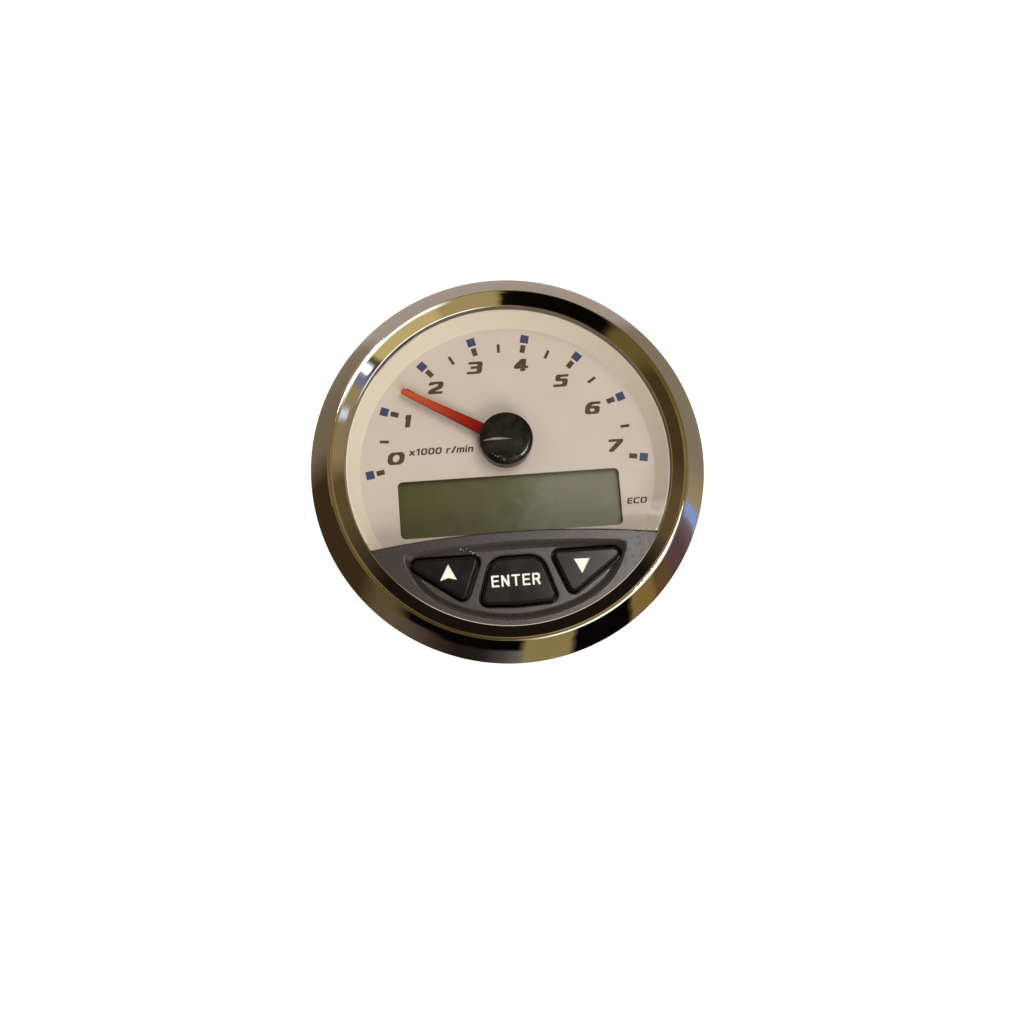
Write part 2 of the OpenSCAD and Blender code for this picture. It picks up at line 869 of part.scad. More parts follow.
module connector_shells() {
    color("silver") at_plugs() difference() {
        union() {
            rod(plug_d, rest_z, rest_z + plug_len);
            hexagon(plug_hex_af, rest_z + plug_len, rest_z + plug_len + plug_hex_h);
            rod(plug_stem_d, rest_z + plug_len, plug_back_z);
        }
        rod(plug_bore_d, rest_z - overrun, plug_back_z + overrun);
    }
}

module connector_nuts() {
    color("silver") at_plugs() difference() {
        hexagon(plug_nut_af, floor_z, plug_back_z);
        rod(plug_stem_d + 2 * bearing_gap, floor_z - overrun, plug_back_z + overrun);
    }
}

module connector_inserts() {
    color([0.1, 0.1, 0.1]) at_plugs() difference() {
        union() {
            rod(plug_bore_d - 2 * bearing_gap, rest_z + plug_deep, plug_back_z);
            rod(plug_collar_d, plug_back_z, plug_back_z + plug_collar_h);
        }
        at_points(contact_points)
            rod(contact_d + 2 * contact_gap, rest_z + plug_deep - overrun, plug_back_z + plug_collar_h + overrun);
    }
}

module connector_pins() {
    color("gold") at_plugs() at_points(contact_points)
        rod(contact_d, rest_z + contact_short, plug_back_z + plug_collar_h);
}

module connector_leads() {
    color("firebrick") at_plugs() at_points(contact_points)
        rod(lead_d, plug_back_z + plug_collar_h, board_back);
}

module vent_plug() {
    color([0.25, 0.25, 0.25]) translate([0, vent_y, 0]) {
        rod(vent_d, rear_z - vent_h, rear_z);
        rod(vent_stem_d, rear_z, floor_z + vent_hook);
    }
}

bezel();
lens();
lens_gasket();
dash_gasket();
case();
button_panel();
up_button();
enter_button();
down_button();
up_plunger();
enter_plunger();
down_plunger();
key_switches();
button_board();
panel_screws();
board_header();
spacer_ring();
dial();
lcd_frame();
lcd_cell();
lcd_light_guide();
lcd_contact_strips();
light_housing();
pointer();
hub_cap();
pointer_shaft();
stepper_motor();
main_board();
board_chips();
capacitors();
board_leds();
module_screws();
mounting_studs();
connector_shells();
connector_nuts();
connector_inserts();
connector_pins();
connector_leads();
vent_plug();
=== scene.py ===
"""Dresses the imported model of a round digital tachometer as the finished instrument.

The instrument lies face up: a chromed bezel round a cream dial with a red pointer, a small
display, and a grained panel with three rubber keys. Lengths are in millimetres until a mesh
is made, and angles are in degrees from three o'clock.
"""

import logging
import math
from collections import Counter
from dataclasses import dataclass
from enum import Enum
from typing import Callable, Sequence

import bmesh
import bpy
import numpy as np
from mathutils import Matrix, Vector
from mathutils.geometry import delaunay_2d_cdt


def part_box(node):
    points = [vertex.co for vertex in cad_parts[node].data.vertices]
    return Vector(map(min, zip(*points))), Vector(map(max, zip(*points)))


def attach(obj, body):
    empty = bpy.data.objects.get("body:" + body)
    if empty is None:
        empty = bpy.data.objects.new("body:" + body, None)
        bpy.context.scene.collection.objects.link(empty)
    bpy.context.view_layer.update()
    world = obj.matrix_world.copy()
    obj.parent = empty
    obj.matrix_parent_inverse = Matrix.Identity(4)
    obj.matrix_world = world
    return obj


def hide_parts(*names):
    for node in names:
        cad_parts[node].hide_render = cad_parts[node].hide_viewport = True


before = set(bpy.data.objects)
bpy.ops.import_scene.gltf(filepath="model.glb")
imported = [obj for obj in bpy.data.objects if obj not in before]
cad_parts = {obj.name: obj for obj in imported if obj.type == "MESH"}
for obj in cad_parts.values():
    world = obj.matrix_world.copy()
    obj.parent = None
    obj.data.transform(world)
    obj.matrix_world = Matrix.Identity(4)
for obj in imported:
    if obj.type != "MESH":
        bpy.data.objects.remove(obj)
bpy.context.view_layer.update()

MM = 0.001
LOG = logging.getLogger("tachometer")

Flat = tuple[float, float]
Spot = tuple[float, float, float]
Surface = Callable[[float, float], float]
Test = Callable[[float, float], bool]
Colour = tuple[float, float, float, float]


class Body(Enum):
    """The bodies that pieces ride on."""

    INSTRUMENT = "instrument"
    POINTER = "pointer"
    UP = "up_button"
    ENTER = "enter_button"
    DOWN = "down_button"


# Small geometry


def tone(red: float, green: float, blue: float) -> Colour:
    """A colour of a screen, from 0 to 255 each, as scene-linear light."""
    return (*(((c / 255 + 0.055) / 1.055) ** 2.4 for c in (red, green, blue)), 1.0)


def polar(radius: float, angle: float, centre: Flat = (0.0, 0.0)) -> Flat:
    """The point at a radius and an angle round a centre."""
    turn = math.radians(angle)
    return centre[0] + radius * math.cos(turn), centre[1] + radius * math.sin(turn)


def arc(radius: float, start: float, end: float, steps: int, centre: Flat = (0.0, 0.0)) -> list[Flat]:
    """Points along an arc, both ends included."""
    return [polar(radius, start + (end - start) * i / steps, centre) for i in range(steps + 1)]


def circle(radius: float, steps: int, centre: Flat = (0.0, 0.0)) -> list[Flat]:
    """Points round a circle."""
    return [polar(radius, 360 * i / steps, centre) for i in range(steps)]


def rounded_rectangle(width: float, height: float, radius: float, centre: Flat) -> list[Flat]:
    """The outline of a rectangle with rounded corners.

    Args:
        width: Its size along X.
        height: Its size along Y.
        radius: Radius of its corners.
        centre: Where its middle lies.

    Returns:
        Points anticlockwise from the right side.
    """
    outline = []
    for turn, x, y in ((0, 1, 1), (90, -1, 1), (180, -1, -1), (270, 1, -1)):
        corner = (centre[0] + x * (width / 2 - radius), centre[1] + y * (height / 2 - radius))
        outline += arc(radius, turn, turn + 90, 8, corner)
    return outline


def fall(depth: float, radius: float) -> float:
    """How far a rounded edge lies below its face, at a distance in from the edge."""
    return radius - math.sqrt(radius**2 - (radius - min(max(depth, 0.0), radius)) ** 2)


def edge_steps(radius: float, steps: int = 6) -> list[float]:
    """Distances in from an edge at which a rounded edge wants a ring of points."""
    return [radius * (1 - math.cos(math.pi / 2 * i / steps)) for i in range(steps + 1)] + [radius * 1.15]


class RoundedHull:
    """A convex outline held by circles at its corners.

    Args:
        corners: x, y and radius of each circle.
        steps: Points in an outline.
    """

    def __init__(self, corners: Sequence[Spot], steps: int = 120) -> None:
        """Finds how far the outline reaches in each direction."""
        turns = np.linspace(0, 2 * math.pi, steps, endpoint=False)
        self.ways = np.stack([np.cos(turns), np.sin(turns)], axis=1)
        centres, radii = np.array(corners)[:, :2], np.array(corners)[:, 2]
        reach = self.ways @ centres.T + radii
        self.reach = reach.max(axis=1)
        self.centres, self.radii = centres[reach.argmax(axis=1)], radii[reach.argmax(axis=1)]

    def outline(self, grow: float = 0.0) -> list[Flat]:
        """The outline, grown or shrunk by a distance."""
        points = self.centres + self.ways * (self.radii + grow)[:, None]
        return [(float(x), float(y)) for x, y in points]

    def depth(self, x: float, y: float) -> float:
        """How far a point lies inside the outline, below 0 outside it."""
        return float((self.reach - self.ways @ (x, y)).min())


# Points of a plate that are closer than this, in millimetres, become one
MERGE = 1e-5
# Radius of the hole that a turned section leaves round its axis
CORE = 0.02
# How far places inside a node lie above its lowest point
KEY_POST = 0.9
PANEL_PLATE = 1.7
VENT_STEM = 1.6


@dataclass(frozen=True)
class Layout:
    """Places that several pieces share, read from the frame, in millimetres."""

    bezel_r: float
    bezel_low: float
    ridge_z: float
    lens_r: float
    lens_low: float
    lens_top: float
    panel_r: float
    dial_r: float
    dial_low: float
    dial_top: float
    plate_low: float
    key_top: float
    key_low: float
    case_back: float
    rest_z: float
    arc_r: float = 260.0
    arc_y: float = -17.6
    axis: Flat = (0.0, 7.3)
    rest_angle: float = 149.714

    @staticmethod
    def box(node: str) -> tuple[Vector, Vector]:
        """The lowest and highest corner of a node, in millimetres."""
        low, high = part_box(node)
        return Vector(low) / MM, Vector(high) / MM

    @classmethod
    def read(cls) -> "Layout":
        """Reads the shared places from the frame's nodes.

        Returns:
            The layout of this frame.
        """
        bezel, lens, dial = cls.box("bezel"), cls.box("lens"), cls.box("dial")
        spacer, key = cls.box("spacer_ring"), cls.box("enter_button")
        return cls(
            bezel_r=bezel[1].x, bezel_low=bezel[0].z, ridge_z=bezel[1].z,
            lens_r=lens[1].x, lens_low=lens[0].z, lens_top=lens[1].z,
            panel_r=spacer[1].x, dial_r=dial[1].x, dial_low=dial[0].z, dial_top=dial[1].z,
            plate_low=key[0].z + PANEL_PLATE, key_top=key[1].z, key_low=key[0].z + KEY_POST,
            case_back=cls.box("vent_plug")[0].z + VENT_STEM, rest_z=cls.box("mounting_studs")[0].z,
        )

    def above_arc(self, x: float, y: float, drop: float = 0.0) -> float:
        """How far a point lies above the panel's curved edge, moved down by drop."""
        return math.hypot(x, y - (self.arc_y - self.arc_r - drop)) - self.arc_r

    def arc_line(self, radius: float, drop: float, steps: int = 72) -> list[Flat]:
        """Points from right to left along the curved edge, inside a circle round the axis.

        Args:
            radius: Radius of the circle.
            drop: How far the edge is moved down.
            steps: Stretches between the ends.

        Returns:
            Points from end to end.
        """
        middle = self.arc_y - self.arc_r - drop
        across = math.degrees(math.acos((middle**2 + self.arc_r**2 - radius**2) / (2 * -middle * self.arc_r)))
        return arc(self.arc_r, 90 - across, 90 + across, steps, (0.0, middle))

    def dial_side(self, radius: float, drop: float, steps: int = 240) -> list[Flat]:
        """The outline of what lies above the curved edge, inside a circle round the axis.

        Args:
            radius: Radius of the circle.
            drop: How far the edge is moved down.
            steps: Stretches along the circle.

        Returns:
            A closed outline.
        """
        edge = self.arc_line(radius, drop)
        (x0, y0), (x1, y1) = edge[0], edge[-1]
        start, end = math.degrees(math.atan2(y0, x0)), math.degrees(math.atan2(y1, x1)) % 360
        return arc(radius, start, end, steps)[:-1] + edge[:0:-1]


# Meshes


def piece(name: str, points: Sequence[Sequence[float]], faces: Sequence[Sequence[int]],
          crease: float = 32.0) -> bpy.types.Object:
    """Makes an object from points in millimetres.

    Args:
        name: The piece's name.
        points: Its corners.
        faces: Corner numbers of each face.
        crease: Edges that bend by more than this angle stay sharp.

    Returns:
        The new object, with its faces turned outward.
    """
    mesh = bpy.data.meshes.new(name)
    mesh.from_pydata([[c * MM for c in p] for p in points], [], [list(f) for f in faces])
    work = bmesh.new()
    work.from_mesh(mesh)
    bmesh.ops.remove_doubles(work, verts=work.verts, dist=1e-7)
    bmesh.ops.recalc_face_normals(work, faces=work.faces)
    work.to_mesh(mesh)
    work.free()
    for face in mesh.polygons:
        face.use_smooth = True
    mesh.set_sharp_from_angle(angle=math.radians(crease))
    made = bpy.data.objects.new(name, mesh)
    bpy.context.scene.collection.objects.link(made)
    return made


def joined(name: str, parts: Sequence[bpy.types.Object]) -> bpy.types.Object:
    """Joins closed parts of one piece into one object.

    Args:
        name: The piece's name.
        parts: Objects, of which the first is kept.

    Returns:
        The first object with all the parts in it.
    """
    work = bmesh.new()
    for part in parts:
        work.from_mesh(part.data)
    first = parts[0]
    work.to_mesh(first.data)
    work.free()
    first.name = first.data.name = name
    for part in parts[1:]:
        bpy.data.objects.remove(part)
    return first


def turned(name: str, profile: Sequence[Flat], steps: int = 256, centre: Flat = (0.0, 0.0),
           crease: float = 32.0) -> bpy.types.Object:
    """Turns a closed section round an upright axis.

    Args:
        name: The piece's name.
        profile: The section's corners, as radius and height.
        steps: Sections round the axis.
        centre: Where the axis stands.
        crease: Edges that bend by more than this angle stay sharp.

    Returns:
        The turned piece.
    """
    count = len(profile)
    points = [(*polar(r, 360 * i / steps, centre), z) for i in range(steps) for r, z in profile]
    faces = []
    for i in range(steps):
        here, there = i * count, (i + 1) % steps * count
        for j in range(count):
            k = (j + 1) % count
            faces.append((here + j, here + k, there + k, there + j))
    return piece(name, points, faces, crease)


def prism(name: str, corners: Sequence[Flat], triangles: Sequence[Sequence[int]], top: Surface,
          bottom: Surface, crease: float = 32.0) -> bpy.types.Object:
    """Makes a closed plate from flat triangles.

    Args:
        name: The piece's name.
        corners: The corners of the triangles.
        triangles: Three or more corner numbers each.
        top: Height of the upper surface.
        bottom: Height of the lower surface.
        crease: Edges that bend by more than this angle stay sharp.

    Returns:
        The plate.
    """
    count = len(corners)
    points = [(x, y, top(x, y)) for x, y in corners] + [(x, y, bottom(x, y)) for x, y in corners]
    faces = [tuple(t) for t in triangles] + [tuple(count + i for i in reversed(t)) for t in triangles]
    sides = [(t[i], t[(i + 1) % len(t)]) for t in triangles for i in range(len(t))]
    uses = Counter(frozenset(side) for side in sides)
    faces += [(a, count + a, count + b, b) for a, b in sides if uses[frozenset((a, b))] == 1]
    return piece(name, points, faces, crease)


def plate(name: str, rings: Sequence[Sequence[Flat]], keep: Test, top: Surface, bottom: Surface,
          lines: Sequence[Sequence[Flat]] = (), crease: float = 32.0) -> bpy.types.Object:
    """Makes a closed plate whose mesh follows rings and lines.

    Args:
        name: The piece's name.
        rings: Closed outlines that the mesh keeps as edges.
        keep: Says whether a place belongs to the plate.
        top: Height of the upper surface.
        bottom: Height of the lower surface.
        lines: Open lines that the mesh keeps as edges.
        crease: Edges that bend by more than this angle stay sharp.

    Returns:
        The plate.
    """
    places: list[Vector] = []
    edges: list[tuple[int, int]] = []
    for closed, group in ((1, rings), (0, lines)):
        for run in group:
            first, count = len(places), len(run)
            places += [Vector(p) for p in run]
            edges += [(first + i, first + (i + 1) % count) for i in range(count - 1 + closed)]
    corners, _, faces, *_ = delaunay_2d_cdt(places, edges, [], 0, MERGE)
    kept = []
    for face in faces:
        middle = sum((corners[i] for i in face), Vector((0, 0))) / len(face)
        if keep(middle.x, middle.y):
            kept.append(face)
    used = sorted({i for face in kept for i in face})
    number = {old: new for new, old in enumerate(used)}
    return prism(name, [tuple(corners[i]) for i in used], [[number[i] for i in f] for f in kept],
                 top, bottom, crease)


def level(height: float) -> Surface:
    """A flat surface."""
    return lambda x, y: height


def bent(path: Sequence[Flat], radius: float, steps: int = 5) -> list[Flat]:
    """A path with its inner corners rounded.

    Args:
        path: Corners of the path.
        radius: How far from a corner its round starts.
        steps: Stretches in a round.

    Returns:
        Points of the rounded path.
    """
    if radius <= 0:
        return list(path)
    line = [path[0]]
    for before, corner, after in zip(path, path[1:], path[2:]):
        here = Vector(corner)
        back, on = Vector(before) - here, Vector(after) - here
        reach = min(radius, back.length / 2, on.length / 2)
        start, end = here + back.normalized() * reach, here + on.normalized() * reach
        for i in range(steps + 1):
            t = i / steps
            line.append(tuple((1 - t) ** 2 * start + 2 * t * (1 - t) * here + t * t * end))
    return line + [path[-1]]


@dataclass(frozen=True)
class Nib:
    """A pen with a flat tip: broad along a row of print and thin across it."""

    width: float
    height: float
    cut: float = 0.12

    def around(self, spot: Flat) -> list[Vector]:
        """The nib's outline at a spot.

        Args:
            spot: Where the nib's middle is.

        Returns:
            Its eight corners.
        """
        w, h, c = self.width / 2, self.height / 2, self.cut
        corners = ((w - c, h), (w, h - c), (w, c - h), (w - c, -h),
                   (c - w, -h), (-w, c - h), (-w, h - c), (c - w, h))
        return [Vector((spot[0] + x, spot[1] + y)) for x, y in corners]

    def swept(self, start: Flat, end: Flat) -> list[Vector]:
        """The outline that the nib covers on a straight stroke.

        Args:
            start: Where the stroke starts.
            end: Where it ends.

        Returns:
            A convex outline.
        """
        cloud = sorted({tuple(p) for p in self.around(start) + self.around(end)})
        halves = []
        for run in (cloud, cloud[::-1]):
            half: list[tuple[float, float]] = []
            for p in run:
                while len(half) > 1 and self._turn(half[-2], half[-1], p) <= 1e-9:
                    half.pop()
                half.append(p)
            halves += half[:-1]
        return [Vector(p) for p in halves]

    @staticmethod
    def _turn(a: Sequence[float], b: Sequence[float], c: Sequence[float]) -> float:
        """Twice the area of a triangle, above 0 if it turns left."""
        return (b[0] - a[0]) * (c[1] - a[1]) - (b[1] - a[1]) * (c[0] - a[0])


def inked(name: str, outlines: Sequence[Sequence[Vector]], low: float, high: float) -> bpy.types.Object:
    """A thin layer of ink.

    Args:
        name: The piece's name.
        outlines: The ink lies on every place that any of them covers.
        low: Height of its underside.
        high: Height of its face.

    Returns:
        The layer.
    """
    places: list[Vector] = []
    covers = []
    for outline in outlines:
        covers.append(list(range(len(places), len(places) + len(outline))))
        places += [Vector(p) for p in outline]
    corners, _, faces, _, _, owners = delaunay_2d_cdt(places, [], covers, 0, MERGE)
    kept = [face for face, owner in zip(faces, owners) if owner]
    used = sorted({i for face in kept for i in face})
    number = {old: new for new, old in enumerate(used)}
    return prism(name, [tuple(corners[i]) for i in used], [[number[i] for i in f] for f in kept],
                 level(high), level(low))


class Letters:
    """Letters and numbers as strokes of a pen."""

    # Width and strokes of each, in hundredths of the width across and of the height up
    GLYPHS: dict[str, tuple[float, str]] = {
        "0": (0.95, "50,0 80,0 100,26 100,74 80,100 20,100 0,74 0,26 20,0 50,0"),
        "1": (0.5, "80,0 80,100|80,100 35,100 10,84"),
        "2": (0.95, "0,90 10,100 88,100 100,86 100,66 88,54 14,20 0,0 100,0"),
        "3": (0.95, "5,100 88,100 100,86 100,64 86,53 32,53|86,53 100,42 100,14 86,0 0,0"),
        "4": (0.95, "68,100 0,27 104,27|78,100 78,0"),
        "5": (0.95, "100,100 12,100 12,57 86,57 100,45 100,14 86,0 0,0"),
        "6": (0.95, "100,100 40,100 12,84 0,60 0,14 14,0 86,0 100,13 100,44 86,56 10,56"),
        "7": (0.95, "0,100 100,100 94,86 18,0"),
        "x": (0.8, "0,72 100,0|100,72 0,0"),
        "r": (0.55, "0,0 0,72|0,50 30,72 100,72"),
        "/": (0.5, "0,-4 100,104"),
        "m": (1.25, "0,0 0,72 42,72 50,60 50,0|50,60 60,72 90,72 100,60 100,0"),
        "i": (0.0, "0,0 0,72|0,100 0,104"),
        "n": (0.75, "0,0 0,72 85,72 100,58 100,0"),
        "E": (0.58, "100,100 0,100 0,0 100,0|0,52 90,52"),
        "N": (0.62, "0,0 0,100 100,0 100,100"),
        "T": (0.68, "0,100 100,100|50,100 50,0"),
        "R": (0.6, "0,0 0,100 75,100 97,88 97,62 75,50 0,50|60,50 100,0"),
        "C": (0.75, "100,100 14,100 0,82 0,18 14,0 100,0"),
        "O": (0.8, "50,0 86,0 100,18 100,82 86,100 14,100 0,82 0,18 14,0 50,0"),
        " ": (0.2, ""),
    }

    def __init__(self, nib: Nib, bend: float, slant: float = 0.0, gap: float = 0.3) -> None:
        """Takes the pen, the round of its bends, the lean of a letter and the space between two."""
        self.nib, self.bend, self.slant, self.gap = nib, bend, slant, gap

    @classmethod
    def strokes(cls, letter: str) -> list[list[Flat]]:
        """The strokes of a letter in a box one wide and one high."""
        runs = [run for run in cls.GLYPHS[letter][1].split("|") if run]
        return [[tuple(int(c) / 100 for c in spot.split(",")) for spot in run.split()] for run in runs]

    def drawn(self, letter: str, left: Flat, width: float, height: float) -> list[list[Vector]]:
        """The outlines that a letter's strokes cover.

        Args:
            letter: The letter.
            left: Its lower left corner.
            width: Its whole width, without its lean.
            height: Its whole height.

        Returns:
            One outline for each short stretch of the pen.
        """
        wide, tall = max(width - self.nib.width, 0.0), height - self.nib.height
        half_w, half_h = self.nib.width / 2, self.nib.height / 2
        covers = []
        for stroke in self.strokes(letter):
            line = bent([(u * wide + half_w, v * tall + half_h) for u, v in stroke], self.bend)
            for start, end in zip(line, line[1:]):
                cover = self.nib.swept(start, end)
                covers.append([Vector((left[0] + p.x + self.slant * p.y, left[1] + p.y)) for p in cover])
        return covers

    def written(self, words: str, left: Flat, size: Flat) -> list[list[Vector]]:
        """The outlines of a row of letters that fills a box.

        Args:
            words: The letters.
            left: The box's lower left corner.
            size: Its width and height.

        Returns:
            One outline for each short stretch of the pen.
        """
        width, height = size[0] - self.slant * size[1], size[1]
        shares = [self.GLYPHS[letter][0] for letter in words]
        fixed = (self.nib.width + self.gap) * len(words) - self.gap
        scale = (width - fixed) / sum(shares)
        covers, x = [], left[0]
        for letter, share in zip(words, shares):
            wide = share * scale + self.nib.width
            covers += self.drawn(letter, (x, left[1]), wide, height)
            x += wide + self.gap
        return covers


# Pens of the dial's numbers, of its captions and of the keys
NUMBER_PEN = Letters(Nib(1.3, 0.68), bend=0.8, slant=0.2)
CAPTION_PEN = Letters(Nib(0.46, 0.32, 0.06), bend=0.25, slant=0.2, gap=0.24)
KEY_PEN = Letters(Nib(0.48, 0.45, 0.05), bend=0.1, gap=0.58)


# Finishes

# Where a mixing node takes and gives its colours
FIRST_COLOUR, SECOND_COLOUR, MIXED_COLOUR = 6, 7, 2


class Nodes:
    """A node tree, and ways to fill it."""

    def __init__(self, tree: bpy.types.NodeTree) -> None:
        """Takes the tree."""
        self.tree = tree

    def add(self, kind: str, **settings: object) -> bpy.types.Node:
        """Adds a node.

        Args:
            kind: The node's type.
            settings: Properties to set on it.

        Returns:
            The new node.
        """
        node = self.tree.nodes.new(kind)
        for key, value in settings.items():
            setattr(node, key, value)
        return node

    def link(self, source: bpy.types.NodeSocket, target: bpy.types.NodeSocket) -> None:
        """Joins two sockets."""
        self.tree.links.new(source, target)

    def mixed(self, amount: bpy.types.NodeSocket, first: bpy.types.NodeSocket,
              second: bpy.types.NodeSocket) -> bpy.types.NodeSocket:
        """Mixes two shaders.

        Args:
            amount: Share of the second.
            first: A shader.
            second: Another shader.

        Returns:
            The mixed shader.
        """
        node = self.add("ShaderNodeMixShader")
        for source, target in zip((amount, first, second), node.inputs):
            self.link(source, target)
        return node.outputs["Shader"]

    def seen_directly(self) -> bpy.types.NodeSocket:
        """1 for what the camera, a mirror or a pane sees, and 0 for light that falls on things.

        Returns:
            The socket that gives it.
        """
        ray = self.add("ShaderNodeLightPath")
        total = ray.outputs["Is Camera Ray"]
        for kind in ("Is Glossy Ray", "Is Transmission Ray"):
            either = self.add("ShaderNodeMath", operation="MAXIMUM")
            self.link(total, either.inputs[0])
            self.link(ray.outputs[kind], either.inputs[1])
            total = either.outputs["Value"]
        return total


class Recipe(Nodes):
    """A material's node tree round one shader, whose places are the piece's own, in metres."""

    def __init__(self, name: str, colour: Colour, roughness: float, **sockets: float) -> None:
        """Makes the material and sets what is the same all over it.

        Args:
            name: The material's name.
            colour: Its base colour.
            roughness: How dull it is.
            sockets: Other values of the shader, by the names of its sockets.
        """
        self.material = bpy.data.materials.new(name)
        self.material.use_nodes = True
        super().__init__(self.material.node_tree)
        self.shader = self.tree.nodes["Principled BSDF"]
        self.shader.inputs["Base Color"].default_value = colour
        self.shader.inputs["Roughness"].default_value = roughness
        for socket, value in sockets.items():
            self.shader.inputs[socket.replace("_", " ")].default_value = value
        self.place = self.add("ShaderNodeTexCoord").outputs["Object"]

    def end_with(self, surface: bpy.types.NodeSocket) -> bpy.types.Material:
        """Puts another surface in the place of the shader and gives back the material.

        Args:
            surface: The surface.

        Returns:
            The finished material.
        """
        self.link(surface, self.tree.nodes["Material Output"].inputs["Surface"])
        self.tree.nodes.remove(self.shader)
        return self.material

    def shade(self, socket: str, source: bpy.types.NodeSocket) -> None:
        """Feeds one of the shader's sockets."""
        self.link(source, self.shader.inputs[socket])

    def noise(self, size: float, detail: float = 2.0,
              stretch: Spot = (1.0, 1.0, 1.0)) -> bpy.types.NodeSocket:
        """Cloudy variation with spots of a size in millimetres.

        Args:
            size: Size of a spot.
            detail: Finer layers.
            stretch: Shares by which each axis is packed closer.

        Returns:
            The socket that gives it.
        """
        node = self.add("ShaderNodeTexNoise")
        node.inputs["Scale"].default_value = 1 / (size * MM)
        node.inputs["Detail"].default_value = detail
        source = self.place
        if stretch != (1.0, 1.0, 1.0):
            moved = self.add("ShaderNodeMapping")
            moved.inputs["Scale"].default_value = stretch
            self.link(self.place, moved.inputs["Vector"])
            source = moved.outputs["Vector"]
        self.link(source, node.inputs["Vector"])
        return node.outputs["Fac"]

    def ramp(self, source: bpy.types.NodeSocket,
             stops: Sequence[tuple[float, Colour]]) -> bpy.types.NodeSocket:
        """Colours along a value.

        Args:
            source: The value.
            stops: Places on the value and their colours.

        Returns:
            The socket that gives it.
        """
        node = self.add("ShaderNodeValToRGB")
        scale = node.color_ramp.elements
        while len(scale) < len(stops):
            scale.new(1.0)
        for element, (at, colour) in zip(scale, stops):
            element.position, element.color = at, colour
        self.link(source, node.inputs["Fac"])
        return node.outputs["Color"]

    def between(self, source: bpy.types.NodeSocket, low: float, high: float,
                out: Flat = (0.0, 1.0)) -> bpy.types.NodeSocket:
        """A value moved from one range to another, and kept inside it.

        Args:
            source: The value.
            low: Where its range starts.
            high: Where its range ends.
            out: The range that it is moved to.

        Returns:
            The socket that gives it.
        """
        node = self.add("ShaderNodeMapRange", interpolation_type="SMOOTHSTEP")
        for socket, value in zip(("From Min", "From Max", "To Min", "To Max"), (low, high, *out)):
            node.inputs[socket].default_value = value
        self.link(source, node.inputs["Value"])
        return node.outputs["Result"]

    def along(self, axis: str) -> bpy.types.NodeSocket:
        """The place along X, Y or Z, in metres.

        Args:
            axis: The axis.

        Returns:
            The socket that gives it.
        """
        node = self.add("ShaderNodeSeparateXYZ")
        self.link(self.place, node.inputs["Vector"])
        return node.outputs[axis]

    def blend(self, amount: bpy.types.NodeSocket, first: object, second: object) -> bpy.types.NodeSocket:
        """Mixes two colours, each a value or a socket.

        Args:
            amount: Share of the second.
            first: A colour.
            second: Another colour.

        Returns:
            The socket that gives it.
        """
        node = self.add("ShaderNodeMix", data_type="RGBA")
        self.link(amount, node.inputs["Factor"])
        for index, value in ((FIRST_COLOUR, first), (SECOND_COLOUR, second)):
            if isinstance(value, bpy.types.NodeSocket):
                self.link(value, node.inputs[index])
            else:
                node.inputs[index].default_value = value
        return node.outputs[MIXED_COLOUR]

    def relief(self, height: bpy.types.NodeSocket, depth: float, strength: float = 1.0) -> None:
        """Gives the surface a fine relief, its depth in millimetres.

        Args:
            height: Height from 0 to 1.
            depth: What a height of 1 stands for.
            strength: How strongly it shows.
        """
        node = self.add("ShaderNodeBump")
        node.inputs["Strength"].default_value = strength
        node.inputs["Distance"].default_value = depth * MM
        self.link(height, node.inputs["Height"])
        self.shade("Normal", node.outputs["Normal"])


def shaded(colour: Colour, share: float) -> Colour:
    """A colour made darker or lighter by a share."""
    return (*(c * share for c in colour[:3]), 1.0)


@dataclass(frozen=True)
class Chrome:
    """Bright plating on a moulded ring."""

    name: str = "chrome_plating"
    colour: Colour = (0.80, 0.79, 0.77, 1.0)
    roughness: float = 0.02

    def make(self) -> bpy.types.Material:
        """Plating with a faint haze, and pits too fine to see one by one.

        Returns:
            The finished material.
        """
        recipe = Recipe(self.name, self.colour, self.roughness, Metallic=1.0)
        glossy, dull = self.roughness * 0.7, self.roughness * 2.2
        haze = recipe.between(recipe.noise(9.0, 4.0), 0.35, 0.75, (glossy, dull))
        recipe.shade("Roughness", haze)
        recipe.relief(recipe.noise(2.5, 1.0), 0.0016, 0.5)
        return recipe.material


